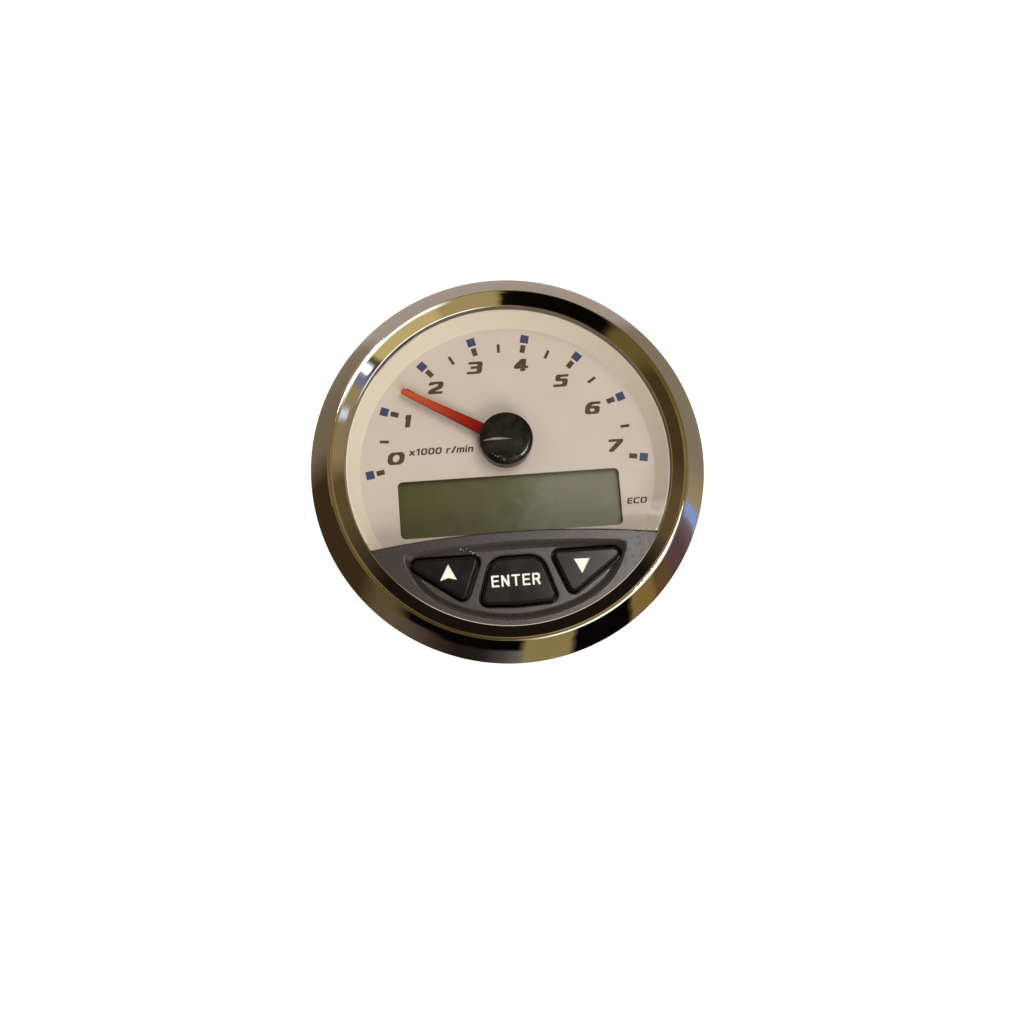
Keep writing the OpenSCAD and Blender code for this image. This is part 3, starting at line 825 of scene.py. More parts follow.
@dataclass(frozen=True)
class Pane:
    """A clear pane that shines by its angle and lets the rest through."""

    name: str
    gloss: float = 0.03
    tint: Colour = (0.985, 0.985, 0.975, 1.0)
    refraction: float = 1.33

    def make(self) -> bpy.types.Material:
        """See-through glass with a sharp reflection and faint smears.

        Returns:
            The finished material.
        """
        recipe = Recipe(self.name, self.tint, self.gloss)
        clear = recipe.add("ShaderNodeBsdfTransparent")
        clear.inputs["Color"].default_value = self.tint
        shine = recipe.add("ShaderNodeBsdfGlossy")
        smears = recipe.noise(11.0, 3.0, (1.0, 2.4, 1.0))
        dulled = recipe.between(smears, 0.45, 0.7, (self.gloss, self.gloss * 3.2))
        recipe.link(dulled, shine.inputs["Roughness"])
        edge = recipe.add("ShaderNodeFresnel")
        recipe.link(self.index(recipe), edge.inputs["IOR"])
        seen = recipe.mixed(edge.outputs["Fac"], clear.outputs["BSDF"], shine.outputs["BSDF"])
        return recipe.end_with(seen)

    def index(self, recipe: Recipe) -> bpy.types.NodeSocket:
        """The refractive index, turned over at the pane's far side so that both sides mirror alike.

        Args:
            recipe: The pane's material.

        Returns:
            The socket that gives it.
        """
        side = recipe.add("ShaderNodeNewGeometry")
        turned = recipe.add("ShaderNodeMapRange")
        recipe.link(side.outputs["Backfacing"], turned.inputs["Value"])
        turned.inputs["To Min"].default_value = self.refraction
        turned.inputs["To Max"].default_value = 1 / self.refraction
        return turned.outputs["Result"]


@dataclass(frozen=True)
class Print:
    """A printed or painted sheet with a soft mottle."""

    name: str
    colour: Colour
    roughness: float = 0.55
    mottle: float = 0.06
    size: float = 6.0
    specular: float = 0.4

    def make(self) -> bpy.types.Material:
        """Paint whose tone drifts a little, over a fine tooth.

        Returns:
            The finished material.
        """
        recipe = Recipe(self.name, self.colour, self.roughness, Specular_IOR_Level=self.specular)
        drift = recipe.noise(self.size, 3.0)
        light, dark = shaded(self.colour, 1 + self.mottle), shaded(self.colour, 1 - self.mottle)
        recipe.shade("Base Color", recipe.ramp(drift, ((0.3, dark), (0.7, light))))
        recipe.relief(recipe.noise(0.35, 2.0), 0.004, 0.5)
        return recipe.material


@dataclass(frozen=True)
class GrainedPlastic:
    """Moulded plastic with a leather-like grain, dull in its hollows."""

    name: str
    colour: Colour
    roughness: float = 0.42
    grain: float = 0.32
    depth: float = 0.035
    contrast: float = 0.28
    specular: float = 0.5

    def make(self) -> bpy.types.Material:
        """Grain as colour, gloss and relief together.

        Returns:
            The finished material.
        """
        recipe = Recipe(self.name, self.colour, self.roughness, Specular_IOR_Level=self.specular)
        grain = recipe.noise(self.grain, 3.0)
        hollow, raised = shaded(self.colour, 1 - self.contrast), shaded(self.colour, 1 + self.contrast)
        recipe.shade("Base Color", recipe.ramp(grain, ((0.32, hollow), (0.68, raised))))
        dull, glossy = self.roughness * 1.25, self.roughness * 0.8
        recipe.shade("Roughness", recipe.between(grain, 0.3, 0.7, (dull, glossy)))
        recipe.relief(grain, self.depth, 0.7)
        return recipe.material


@dataclass(frozen=True)
class Moulding:
    """Plain moulded plastic or rubber with a fine orange peel and a little dust."""

    name: str
    colour: Colour
    roughness: float = 0.35
    dust: float = 0.25
    peel: float = 0.006
    specular: float = 0.5

    def make(self) -> bpy.types.Material:
        """Uneven gloss, thin dust and a wavy skin.

        Returns:
            The finished material.
        """
        recipe = Recipe(self.name, self.colour, self.roughness, Specular_IOR_Level=self.specular)
        cloud = recipe.noise(4.0, 4.0)
        pale = (*(c + self.dust * 0.03 for c in self.colour[:3]), 1.0)
        recipe.shade("Base Color", recipe.ramp(cloud, ((0.4, self.colour), (0.8, pale))))
        glossy, dull = self.roughness * 0.85, self.roughness * 1.2
        recipe.shade("Roughness", recipe.between(cloud, 0.3, 0.7, (glossy, dull)))
        recipe.relief(recipe.noise(0.6, 2.0), self.peel, 0.6)
        return recipe.material


@dataclass(frozen=True)
class Metal:
    """Turned or drawn metal."""

    name: str
    colour: Colour
    roughness: float = 0.28
    line: Spot = (1.0, 1.0, 14.0)

    def make(self) -> bpy.types.Material:
        """Fine tool marks and a patchy tarnish.

        Returns:
            The finished material.
        """
        recipe = Recipe(self.name, self.colour, self.roughness, Metallic=1.0)
        marks = recipe.noise(0.9, 3.0, self.line)
        tarnish = ((0.35, shaded(self.colour, 0.72)), (0.65, self.colour))
        recipe.shade("Base Color", recipe.ramp(recipe.noise(3.0, 4.0), tarnish))
        glossy, dull = self.roughness * 0.7, self.roughness * 1.5
        recipe.shade("Roughness", recipe.between(marks, 0.3, 0.7, (glossy, dull)))
        recipe.relief(marks, 0.006, 0.5)
        return recipe.material


@dataclass(frozen=True)
class PointerPaint:
    """Red paint, paler towards the tip as painted light and darker at the root as the cap's painted shade."""

    name: str = "pointer_paint_and_light"
    # The root colour is the red in painted shade and the tip colour is the red in painted light
    root: Colour = tone(121, 8, 6)
    tip: Colour = tone(172, 74, 42)

    def make(self, layout: Layout) -> bpy.types.Material:
        """Red that runs to orange along the arm: painted shade at the root, painted light at the tip.

        Args:
            layout: Says where the arm starts.

        Returns:
            The finished material.
        """
        recipe = Recipe(self.name, self.root, 0.5, Specular_IOR_Level=0.06)
        away = recipe.add("ShaderNodeVectorMath", operation="DISTANCE")
        away.inputs[1].default_value = (layout.axis[0] * MM, layout.axis[1] * MM, layout.dial_top * MM)
        recipe.link(recipe.place, away.inputs[0])
        # Share of the way from the painted shade at the root to the painted light at the tip
        run = recipe.between(away.outputs["Value"], 0.008, 0.029)
        recipe.shade("Base Color", recipe.blend(run, self.root, self.tip))
        recipe.relief(recipe.noise(0.8, 2.0), 0.004, 0.5)
        return recipe.material


@dataclass(frozen=True)
class DisplayGlass:
    """The display's polariser: olive green, lighter to the right, with a cloudy bloom."""

    name: str = "display_polariser"
    dark: Colour = tone(73, 70, 37)
    middle: Colour = tone(80, 81, 52)
    light: Colour = tone(107, 107, 90)

    def make(self) -> bpy.types.Material:
        """A gradient across the display with clouds in it.

        Returns:
            The finished material.
        """
        recipe = Recipe(self.name, self.dark, 0.35, Specular_IOR_Level=0.2)
        run = recipe.between(recipe.along("X"), -0.034, 0.034)
        cloud = recipe.noise(4.5, 6.0)
        both = recipe.add("ShaderNodeMath", operation="MULTIPLY_ADD")
        recipe.link(cloud, both.inputs[0])
        both.inputs[1].default_value = 0.5
        recipe.link(run, both.inputs[2])
        recipe.shade("Base Color", recipe.ramp(both.outputs["Value"], (
            (0.3, self.dark), (0.7, self.middle), (1.0, self.light))))
        recipe.relief(recipe.noise(0.25, 1.0), 0.002, 0.4)
        return recipe.material


@dataclass(frozen=True)
class CircuitBoard:
    """Green solder mask with tracks under it."""

    name: str = "solder_mask"
    mask: Colour = tone(18, 78, 44)
    track: Colour = tone(34, 112, 66)

    def make(self) -> bpy.types.Material:
        """Rows of tracks round offset blocks.

        Returns:
            The finished material.
        """
        recipe = Recipe(self.name, self.mask, 0.3)
        brick = recipe.add("ShaderNodeTexBrick")
        for socket, value in (("Scale", 1 / (6 * MM)), ("Mortar Size", 0.09), ("Brick Width", 0.9),
                              ("Row Height", 0.16)):
            brick.inputs[socket].default_value = value
        brick.inputs["Color1"].default_value = brick.inputs["Color2"].default_value = self.mask
        brick.inputs["Mortar"].default_value = self.track
        recipe.link(recipe.place, brick.inputs["Vector"])
        recipe.shade("Base Color", brick.outputs["Color"])
        recipe.relief(brick.outputs["Fac"], 0.03, 0.4)
        return recipe.material


# Sub-assemblies


def fit(made: bpy.types.Object, body: Body, material: bpy.types.Material,
        replaces: Sequence[str] = ()) -> bpy.types.Object:
    """Puts a finished piece on its body.

    Args:
        made: The piece.
        body: The body that carries it.
        material: Its finish.
        replaces: The nodes that it stands for.

    Returns:
        The piece.
    """
    made.data.materials.clear()
    made.data.materials.append(material)
    if replaces:
        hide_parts(*replaces)
    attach(made, body.value)
    LOG.info("%s: %d faces on %s", made.name, len(made.data.polygons), body.value)
    return made


def paint(material: bpy.types.Material, *nodes: str) -> None:
    """Gives nodes of the frame a better finish.

    Args:
        material: The finish.
        nodes: Names of the nodes.
    """
    for node in nodes:
        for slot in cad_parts[node].material_slots:
            slot.material = material
    LOG.info("%s on %s", material.name, ", ".join(nodes))


@dataclass
class Bezel:
    """The chromed ring: an outer slope, a ridge, an inner slope and the lip over the lens."""

    layout: Layout
    rim_h: float = 1.2
    rim_bevel: float = 0.4
    skirt_in: float = 2.9
    ridge_in: float = 5.1
    ridge_round: float = 0.5
    slope_r: float = 17.0
    lip_in: float = 8.81
    lip_round: float = 0.09
    crown: float = 0.08
    seat_gap: float = 0.1
    flange_top: float = 4.4
    core: Flat = (1.3, 2.9)
    core_h: float = 1.9
    notch: Flat = (2.2, 3.8)
    notch_in: float = 0.45
    slope_steps: int = 36
    crest_steps: int = 20
    fold_steps: int = 14
    rim_steps: int = 6
    turns: int = 320
    crease: float = 24.0

    def section(self) -> list[Flat]:
        """The ring's closed section, as radius and height.

        Returns:
            Its corners in order.
        """
        lay = self.layout
        foot = Vector((lay.bezel_r, lay.bezel_low + self.rim_h))
        ridge = Vector((lay.bezel_r - self.ridge_in, lay.ridge_z - self.ridge_round))
        lip = Vector((lay.bezel_r - self.lip_in, lay.lens_top + self.lip_round))
        away = ridge - foot
        far, near = self.slope_r, self.slope_r - self.ridge_round
        run = (far**2 - near**2 + away.length_squared) / (2 * away.length)
        side = Vector((-away.y, away.x)).normalized() * math.sqrt(far**2 - run**2)
        middle = foot + away.normalized() * run + side
        low = math.degrees(math.atan2(foot.y - middle.y, foot.x - middle.x))
        high = math.degrees(math.atan2(ridge.y - middle.y, ridge.x - middle.x))
        back = ridge - lip
        lean = math.degrees(math.atan2(back.y, back.x)) + 180
        upward = lean - math.degrees(math.acos((self.ridge_round - self.lip_round) / back.length))
        seat = lay.lens_r + self.seat_gap
        skirt = lay.bezel_r - self.skirt_in
        rim = (lay.bezel_r - self.rim_bevel, lay.bezel_low + self.rim_bevel)
        slope = arc(self.slope_r, low, high, self.slope_steps, tuple(middle))
        crest = arc(self.ridge_round, high, upward, self.crest_steps, tuple(ridge))
        fold = arc(self.lip_round, upward, 270, self.fold_steps, tuple(lip))
        crest = crest[:-1] + self.crowned(crest[-1], fold[0])
        base, roof, notch_r = self.flange_top, self.flange_top + self.core_h, skirt + self.notch_in
        near, far = (seat + width for width in self.core)
        low, high = self.notch
        hollow = [(seat, lay.lens_top), (seat, base), (near, base), (near, roof), (far, roof), (far, base),
                  (skirt, base), (skirt, high), (notch_r, high), (notch_r, low), (skirt, low),
                  (skirt, lay.bezel_low)]
        foot_round = arc(self.rim_bevel, 270, 360, self.rim_steps, rim)
        return foot_round + slope + crest[1:] + fold[1:] + hollow

    def crowned(self, start: Flat, end: Flat, steps: int = 16) -> list[Flat]:
        """Points of the inner slope, which swells a little between its ends.

        Args:
            start: Its upper end.
            end: Its lower end.
            steps: Stretches along it.

        Returns:
            Points without the lower end.
        """
        along = Vector(end) - Vector(start)
        out = Vector((-along.y, along.x)).normalized()
        out = out if out.y > 0 else -out
        line = []
        for i in range(steps):
            share = i / steps
            line.append(tuple(Vector(start) + along * share + out * self.crown * 4 * share * (1 - share)))
        return line

    def build(self, chrome: bpy.types.Material) -> None:
        """Turns the ring and plates it."""
        ring = turned("bezel_ring", self.section(), self.turns, crease=self.crease)
        fit(ring, Body.INSTRUMENT, chrome, ["bezel"])


@dataclass
class LensPane:
    """The clear pane over the dial, cut off along the panel's edge."""

    layout: Layout
    cut_gap: float = 0.15
    edge_round: float = 0.25

    def build(self, glass: bpy.types.Material) -> None:
        """Cuts the pane with a small round along its edge.

        Args:
            glass: The pane's finish.
        """
        lay = self.layout

        def inside(x: float, y: float) -> float:
            """How far a place lies inside the pane's edge."""
            return min(lay.lens_r - math.hypot(x, y), lay.above_arc(x, y, -self.cut_gap))

        rings = [lay.dial_side(lay.lens_r - step, -self.cut_gap - step)
                 for step in edge_steps(self.edge_round, 4)]
        pane = plate("lens_pane", rings, lambda x, y: inside(x, y) > 0,
                     lambda x, y: lay.lens_top - fall(inside(x, y), self.edge_round),
                     lambda x, y: lay.lens_low + fall(inside(x, y), self.edge_round))
        fit(pane, Body.INSTRUMENT, glass, ["lens"])


@dataclass
class DialFace:
    """The printed plate with its scale, its numbers and the two short captions."""

    layout: Layout
    cut_drop: float = 1.5
    window: Spot = (57.2, 15.05, 1.3)
    window_y: float = -8.8
    margin: float = 0.05
    shaft_hole: float = 1.6
    ink: float = 0.025
    steps_on_scale: int = 7
    first_angle: float = 190.0
    sweep: float = 200.0
    blue_r: float = 35.46
    dark_r: float = 32.76
    minor_r: float = 32.72
    ink_sunk: float = 0.005
    digit_height: float = 3.3
    square: Flat = (2.15, 2.15)
    bar: Flat = (2.1, 1.33)
    half_bar: Flat = (2.35, 0.75)
    digits: tuple[Spot, ...] = ((-28.5, 5.05, 5.0), (-24.85, 14.75, 2.3), (-17.05, 23.2, 4.55),
                                (-6.5, 27.9, 4.55), (5.45, 27.85, 4.6), (15.65, 22.95, 4.3),
                                (23.3, 15.05, 4.5), (28.35, 4.65, 4.5))
    captions: tuple[tuple[str, str, Flat, Flat], ...] = (
        ("unit_caption", "x1000 r/min", (-25.15, 5.5), (16.9, 1.75)),
        ("eco_caption", "ECO", (30.0, -11.05), (5.4, 1.6)),
    )

    def cut(self, paper: bpy.types.Material) -> None:
        """Cuts the plate, with its window and the hole for the shaft.

        Args:
            paper: The plate's finish.
        """
        lay = self.layout
        window = rounded_rectangle(*self.window, (0.0, self.window_y))
        half_w, half_h = self.window[0] / 2 - self.margin, self.window[1] / 2 - self.margin

        def inside(x: float, y: float) -> bool:
            """Whether a place is on the plate and in neither of its openings.

            Args:
                x: The place along X.
                y: The place along Y.

            Returns:
                True on the plate.
            """
            in_window = abs(x) < half_w and abs(y - self.window_y) < half_h
            in_hole = math.hypot(x, y - lay.axis[1]) < self.shaft_hole
            in_plate = math.hypot(x, y) < lay.dial_r and lay.above_arc(x, y, self.cut_drop) > 0
            return in_plate and not in_window and not in_hole

        rings = [lay.dial_side(lay.dial_r, self.cut_drop), window, circle(self.shaft_hole, 32, lay.axis)]
        made = plate("dial_plate", rings, inside, level(lay.dial_top), level(lay.dial_low))
        fit(made, Body.INSTRUMENT, paper, ["dial"])

    def angle(self, value: float) -> float:
        """The ray of a value on the scale."""
        return self.first_angle - self.sweep * value / self.steps_on_scale

    def on_circle(self, value: float, radius: float) -> Flat:
        """Where a value's ray from the pointer's axis meets a circle round the dial's centre.

        Args:
            value: The value.
            radius: Radius of the circle.

        Returns:
            The place.
        """
        way = Vector(polar(1.0, self.angle(value)))
        start = Vector(self.layout.axis)
        run = -start.dot(way) + math.sqrt(start.dot(way) ** 2 - start.length_squared + radius**2)
        return tuple(start + way * run)

    def mark(self, value: float, radius: float, size: Flat) -> list[Vector]:
        """The outline of one mark of the scale, its size given along its ray and across it.

        Args:
            value: Where it stands on the scale.
            radius: How far out it stands.
            size: Its size along its ray and across it.

        Returns:
            Its four corners.
        """
        middle, way = Vector(self.on_circle(value, radius)), Vector(polar(1.0, self.angle(value)))
        side = Vector((-way.y, way.x))
        return [middle + way * a * size[0] / 2 + side * b * size[1] / 2
                for a, b in ((1, 1), (-1, 1), (-1, -1), (1, -1))]

    def numbers(self) -> list[list[Vector]]:
        """The outlines of the scale's numbers.

        Returns:
            One outline for each short stretch of the pen.
        """
        height = self.digit_height
        lean = NUMBER_PEN.slant * height
        covers = []
        for number, (x, y, width) in enumerate(self.digits):
            wide = width - lean
            corner = (x - wide / 2 - lean / 2, y - height / 2)
            covers += NUMBER_PEN.drawn(str(number), corner, wide, height)
        return covers

    def ink_all(self, blue: bpy.types.Material, dark: bpy.types.Material) -> None:
        """Prints the scale, the numbers and the captions.

        Args:
            blue: Ink of the squares.
            dark: Ink of everything else.
        """
        whole = range(self.steps_on_scale + 1)
        halves = [v + 0.5 for v in range(self.steps_on_scale)]
        prints = [
            ("scale_squares", blue, [self.mark(v, self.blue_r, self.square) for v in whole]),
            ("scale_bars", dark, [self.mark(v, self.dark_r, self.bar) for v in whole]),
            ("scale_halves", dark, [self.mark(v, self.minor_r, self.half_bar) for v in halves]),
            ("scale_numbers", dark, self.numbers()),
        ]
        for name, words, left, size in self.captions:
            prints.append((name, dark, CAPTION_PEN.written(words, left, size)))
        low, high = self.layout.dial_top - self.ink_sunk, self.layout.dial_top + self.ink
        for name, material, outlines in prints:
            fit(inked(name, outlines, low, high), Body.INSTRUMENT, material)


@dataclass
class SpacerRing:
    """The sloping ring between the dial and the pane, cut off at the panel."""

    layout: Layout
    view_r: float = 38.05
    seat_z: float = 1.6
    edge: float = 0.4
    seat_gap: float = 0.1
    cut_gap: float = 0.1
    cut_share: float = 0.86

    def build(self, plastic: bpy.types.Material) -> None:
        """Turns the ring, then cuts it along the panel's edge.

        Args:
            plastic: The ring's finish.
        """
        lay = self.layout
        seat_r = lay.dial_r + self.seat_gap
        section = [(self.view_r, lay.dial_top), (seat_r, lay.dial_top), (seat_r, self.seat_z),
                   (lay.panel_r, self.seat_z), (lay.panel_r, lay.lens_low),
                   (lay.panel_r - self.edge, lay.lens_low)]
        ring = turned("spacer_slope", section)
        work = bmesh.new()
        work.from_mesh(ring.data)
        for side in (-1, 1):
            x = side * (self.view_r + lay.panel_r) / 2 * self.cut_share
            y = lay.arc_y + self.cut_gap - lay.arc_r + math.sqrt(lay.arc_r**2 - x * x)
            normal = Vector((x, y - (lay.arc_y - lay.arc_r), 0)).normalized()
            half = [f for f in work.faces if f.calc_center_median().x * side > 0]
            parts = {v for f in half for v in f.verts} | {e for f in half for e in f.edges} | set(half)
            bmesh.ops.bisect_plane(work, geom=list(parts), plane_co=Vector((x, y, 0)) * MM, plane_no=normal,
                                   clear_inner=True)
        bmesh.ops.holes_fill(work, edges=[e for e in work.edges if e.is_boundary])
        bmesh.ops.recalc_face_normals(work, faces=work.faces)
        work.to_mesh(ring.data)
        work.free()
        fit(ring, Body.INSTRUMENT, plastic, ["spacer_ring"])


@dataclass
class Display:
    """The display cell behind the window."""

    ledge: float = 2.4
    corner: float = 0.3
    seam: float = 0.01

    def build(self, polariser: bpy.types.Material) -> None:
        """Makes the two glasses of the cell, the upper one a little smaller.

        Args:
            polariser: The glasses' finish.
        """
        low, high = Layout.box("lcd_cell")
        middle, centre = (low.z + high.z) / 2, (0.0, (low.y + high.y) / 2)
        wide, deep = high.x - low.x, high.y - low.y
        glasses = []
        for name, height, top, bottom in (("display_upper", deep - self.ledge, high.z, middle + self.seam),
                                          ("display_lower", deep, middle, low.z)):
            outline = rounded_rectangle(wide, height, self.corner, centre)
            glasses.append(plate(name, [outline], lambda x, y: True, level(top), level(bottom)))
        fit(joined("display_glass", glasses), Body.INSTRUMENT, polariser, ["lcd_cell"])


@dataclass
class Needle:
    """The pointer's arm and boss, at the angle where it rests."""

    layout: Layout
    length: float = 30.0
    tip_width: float = 1.5
    root_width: float = 3.2
    corner: float = 0.45
    cap_r: float = 6.9
    edge_round: float = 0.35
    arm_heights: Flat = (1.9, 3.0)
    boss_heights: Flat = (0.4, 3.4)
    boss_radii: Flat = (0.79, 2.6)

    def build(self, red: bpy.types.Material) -> None:
        """Shapes the arm with rounded edges, over its boss.

        Args:
            red: The arm's finish.
        """
        lay = self.layout
        low, high = (lay.dial_top + height for height in self.arm_heights)
        along = Matrix.Rotation(math.radians(lay.rest_angle), 2)
        corners = []
        for reach, width in ((self.length - self.corner, self.tip_width), (self.cap_r, self.root_width),
                             (0.5, self.root_width)):
            for side in (-1, 1):
                spot = Vector(lay.axis) + along @ Vector((reach, side * (width / 2 - self.corner)))
                corners.append((spot.x, spot.y, self.corner))
        hull = RoundedHull(corners, 144)
        arm = plate("needle_arm", [hull.outline(-step) for step in edge_steps(self.edge_round)],
                    lambda x, y: hull.depth(x, y) > 0,
                    lambda x, y: high - fall(hull.depth(x, y), self.edge_round), level(low))
        foot, head = (lay.dial_top + height for height in self.boss_heights)
        inner, outer = self.boss_radii
        section = [(inner, foot), (outer, foot), (outer, head), (inner, head)]
        boss = turned("needle_boss", section, 64, lay.axis)
        fit(joined("needle", [arm, boss]), Body.POINTER, red, ["pointer"])


@dataclass
class HubCap:
    """The black cap over the pointer's root, with a slot that the arm comes out of."""

    layout: Layout
    radius: float = 6.9
    wall: float = 1.0
    edge_round: float = 0.55
    shoulder_r: float = 8.0
    shoulder_turn: float = 8.0
    slot_half: float = 1.7
    slot_top: float = 3.1
    wall_steps: int = 118
    slot_steps: int = 12
    sliver: float = 0.02
    core_share: float = 0.02
    flat_in: float = 0.4
    least_wall: float = 0.2

    def profile(self, high: float, foot: float) -> list[Flat]:
        """The cap's section from its middle, down to a foot and back under its top.

        Args:
            high: Height of its top.
            foot: Where its wall ends.

        Returns:
            The section's corners, as radius and height.
        """
        shoulder_in, centre_r = self.shoulder_r - self.edge_round, self.radius * self.core_share
        flat_r = self.radius - self.edge_round - shoulder_in * math.sin(math.radians(self.shoulder_turn))
        middle, lean = (flat_r, high - self.shoulder_r), 90 - self.shoulder_turn
        fold = arc(self.shoulder_r, 90, lean, 6, middle)
        fold += arc(self.edge_round, lean, 0, 10, polar(shoulder_in, lean, middle))[1:]
        inner, ceiling = self.radius - self.wall, high - self.wall
        return [(centre_r, high), (flat_r - self.flat_in, high), *fold, (self.radius, foot), (inner, foot),
                (inner, max(ceiling, foot + self.least_wall)), (centre_r, ceiling)]

    def build(self, black: bpy.types.Material) -> None:
        """Turns the cap and leaves its wall open over the arm.

        Args:
            black: The cap's finish.
        """
        low, high = (corner.z for corner in Layout.box("hub_cap"))
        slot_z = self.layout.dial_top + self.slot_top
        half = math.degrees(math.asin(self.slot_half / self.radius))
        walls = [half + (360 - 2 * half) * i / self.wall_steps for i in range(self.wall_steps + 1)]
        slots = [360 - half + self.sliver + (2 * half - 2 * self.sliver) * i / self.slot_steps
                 for i in range(self.slot_steps + 1)]
        sections = [(offset, self.profile(high, low)) for offset in walls]
        sections += [(offset, self.profile(high, slot_z)) for offset in slots]
        points = [(*polar(r, self.layout.rest_angle + offset, self.layout.axis), z)
                  for offset, profile in sections for r, z in profile]
        turns = len(sections)
        count = len(points) // turns
        faces = []
        for i in range(turns):
            here, there = i * count, (i + 1) % turns * count
            faces += [(here + j, here + j + 1, there + j + 1, there + j) for j in range(count - 1)]
        faces.append([i * count for i in range(turns)])
        faces.append([i * count + count - 1 for i in range(turns)])
        fit(piece("hub_cover", points, faces), Body.POINTER, black, ["hub_cap"])


KEY_CORNERS = ((24.7, -24.8, 2.0), (11.0, -24.7, 1.95), (14.1, -32.4, 2.0))
MIDDLE_CORNERS = ((3.24, -28.3, 4.6), (7.6, -34.2, 2.2), (0.0, -31.2, 5.6),
                  (-7.6, -34.2, 2.2), (-3.24, -28.3, 4.6))


def mirrored(corners: Sequence[Spot]) -> tuple[Spot, ...]:
    """Corner circles on the other side of the middle."""
    return tuple((-x, y, r) for x, y, r in corners)


@dataclass
class KeyPanel:
    """The grained moulding round the keys: a raised border, a dish and three openings."""

    layout: Layout
    border: float = 2.6
    dish_rim: float = 1.1
    dish_depth: float = 1.2
    dish_slope: float = 1.9
    side_r: float = 29.5
    side_y: float = -14.8
    edge_round: float = 0.35
    opening_round: float = 0.4
    melt: float = 0.7
    wall: float = 1.5
    seam: float = 0.1
    skirt_z: float = 1.6
    rim_in: float = 0.05
    rim_drop: float = 0.02
    skirt_drop: float = 0.3
    line_in: float = 0.3
    dish_centre: Flat = (0.0, -28.5)
    dish_reach: float = 45.0
    halvings: int = 36
    slope_rings: tuple[float, ...] = (-0.08, 0.0, 0.1, 0.22, 0.36, 0.5, 0.64, 0.78, 0.9, 1.0, 1.06)

    def __post_init__(self) -> None:
        """Lays out the three openings."""
        self.openings = [RoundedHull(c) for c in (mirrored(KEY_CORNERS), MIDDLE_CORNERS, KEY_CORNERS)]

    def in_dish(self, x: float, y: float) -> float:
        """How far a place lies inside the dish's upper edge.

        Args:
            x: The place along X.
            y: The place along Y.

        Returns:
            The distance, below 0 outside.
        """
        lay = self.layout
        ways = (lay.panel_r - self.dish_rim - math.hypot(x, y), -lay.above_arc(x, y, self.border),
                self.side_r - math.hypot(x, y - self.side_y))
        return -self.melt * math.log(sum(math.exp(-w / self.melt) for w in ways))

    def top(self, x: float, y: float) -> float:
        """Height of the panel's face.

        Args:
            x: The place along X.
            y: The place along Y.

        Returns:
            The height.
        """
        lay = self.layout
        share = min(max(self.in_dish(x, y) / self.dish_slope, 0.0), 1.0)
        sunk = self.dish_depth * share * share * (3 - 2 * share)
        edge = fall(-lay.above_arc(x, y), self.edge_round)
        lips = sum(fall(-hull.depth(x, y), self.opening_round) for hull in self.openings)
        return lay.lens_top - max(sunk, edge) - lips

    def contour(self, level_in: float, steps: int = 200) -> list[Flat]:
        """A ring at one distance inside the dish's upper edge, found by halving.

        Args:
            level_in: The distance.
            steps: Points round the ring.

        Returns:
            The ring.
        """
        ring = []
        for i in range(steps):
            low, high, angle = 0.0, self.dish_reach, 360 * i / steps
            for _ in range(self.halvings):
                middle = (low + high) / 2
                far = self.in_dish(*polar(middle, angle, self.dish_centre)) < level_in
                low, high = (low, middle) if far else (middle, high)
            ring.append(polar(low, angle, self.dish_centre))
        return ring

    def below_arc(self, radius: float, drop: float, steps: int = 160) -> list[Flat]:
        """The outline of what lies below the curved edge, inside a circle round the axis.

        Args:
            radius: Radius of the circle.
            drop: How far the edge is moved down.
            steps: Stretches along the circle.

        Returns:
            A closed outline.
        """
        edge = self.layout.arc_line(radius, drop)
        (x0, y0), (x1, y1) = edge[0], edge[-1]
        start, end = math.degrees(math.atan2(y1, x1)), math.degrees(math.atan2(y0, x0))
        return edge[:-1] + arc(radius, start, end + (360 if end < start else 0), steps)[:-1]

    def build(self, plastic: bpy.types.Material) -> None:
        """Makes the face, the wall under its curved edge and the skirt.

        Args:
            plastic: The panel's finish.
        """
        lay = self.layout
        inner_r = lay.panel_r - self.rim_in
        rings = [self.below_arc(lay.lens_r, 0.0), self.below_arc(inner_r, self.rim_drop)]
        rings += [self.contour(self.dish_slope * share) for share in self.slope_rings]
        for hull in self.openings:
            rings += [hull.outline(step) for step in edge_steps(self.opening_round, 5)]
        lines = [lay.arc_line(inner_r - self.line_in, step) for step in edge_steps(self.edge_round, 5)[1:]]

        def keep(x: float, y: float) -> bool:
            """Whether a place is in none of the openings."""
            return all(hull.depth(x, y) < 0 for hull in self.openings)

        face = plate("panel_face", rings, keep, self.top,
                     lambda x, y: lay.plate_low if math.hypot(x, y) < inner_r + 0.01 else lay.lens_low, lines)
        apron_r, skirt_r, seam_z = lay.dial_r + self.seam, lay.panel_r - self.wall, lay.plate_low + self.seam
        apron = plate("panel_apron", [self.below_arc(apron_r, 0.0), self.below_arc(apron_r, self.wall)],
                      lambda x, y: lay.above_arc(x, y, self.wall) > 0, level(seam_z), level(lay.dial_top))
        rings = [self.below_arc(radius, self.skirt_drop) for radius in (lay.panel_r, skirt_r)]
        skirt = plate("panel_skirt", rings, lambda x, y: math.hypot(x, y) > skirt_r, level(seam_z),
                      level(self.skirt_z))
        moulding = joined("key_panel", [face, apron, skirt])
        fit(moulding, Body.INSTRUMENT, plastic, ["button_panel"])


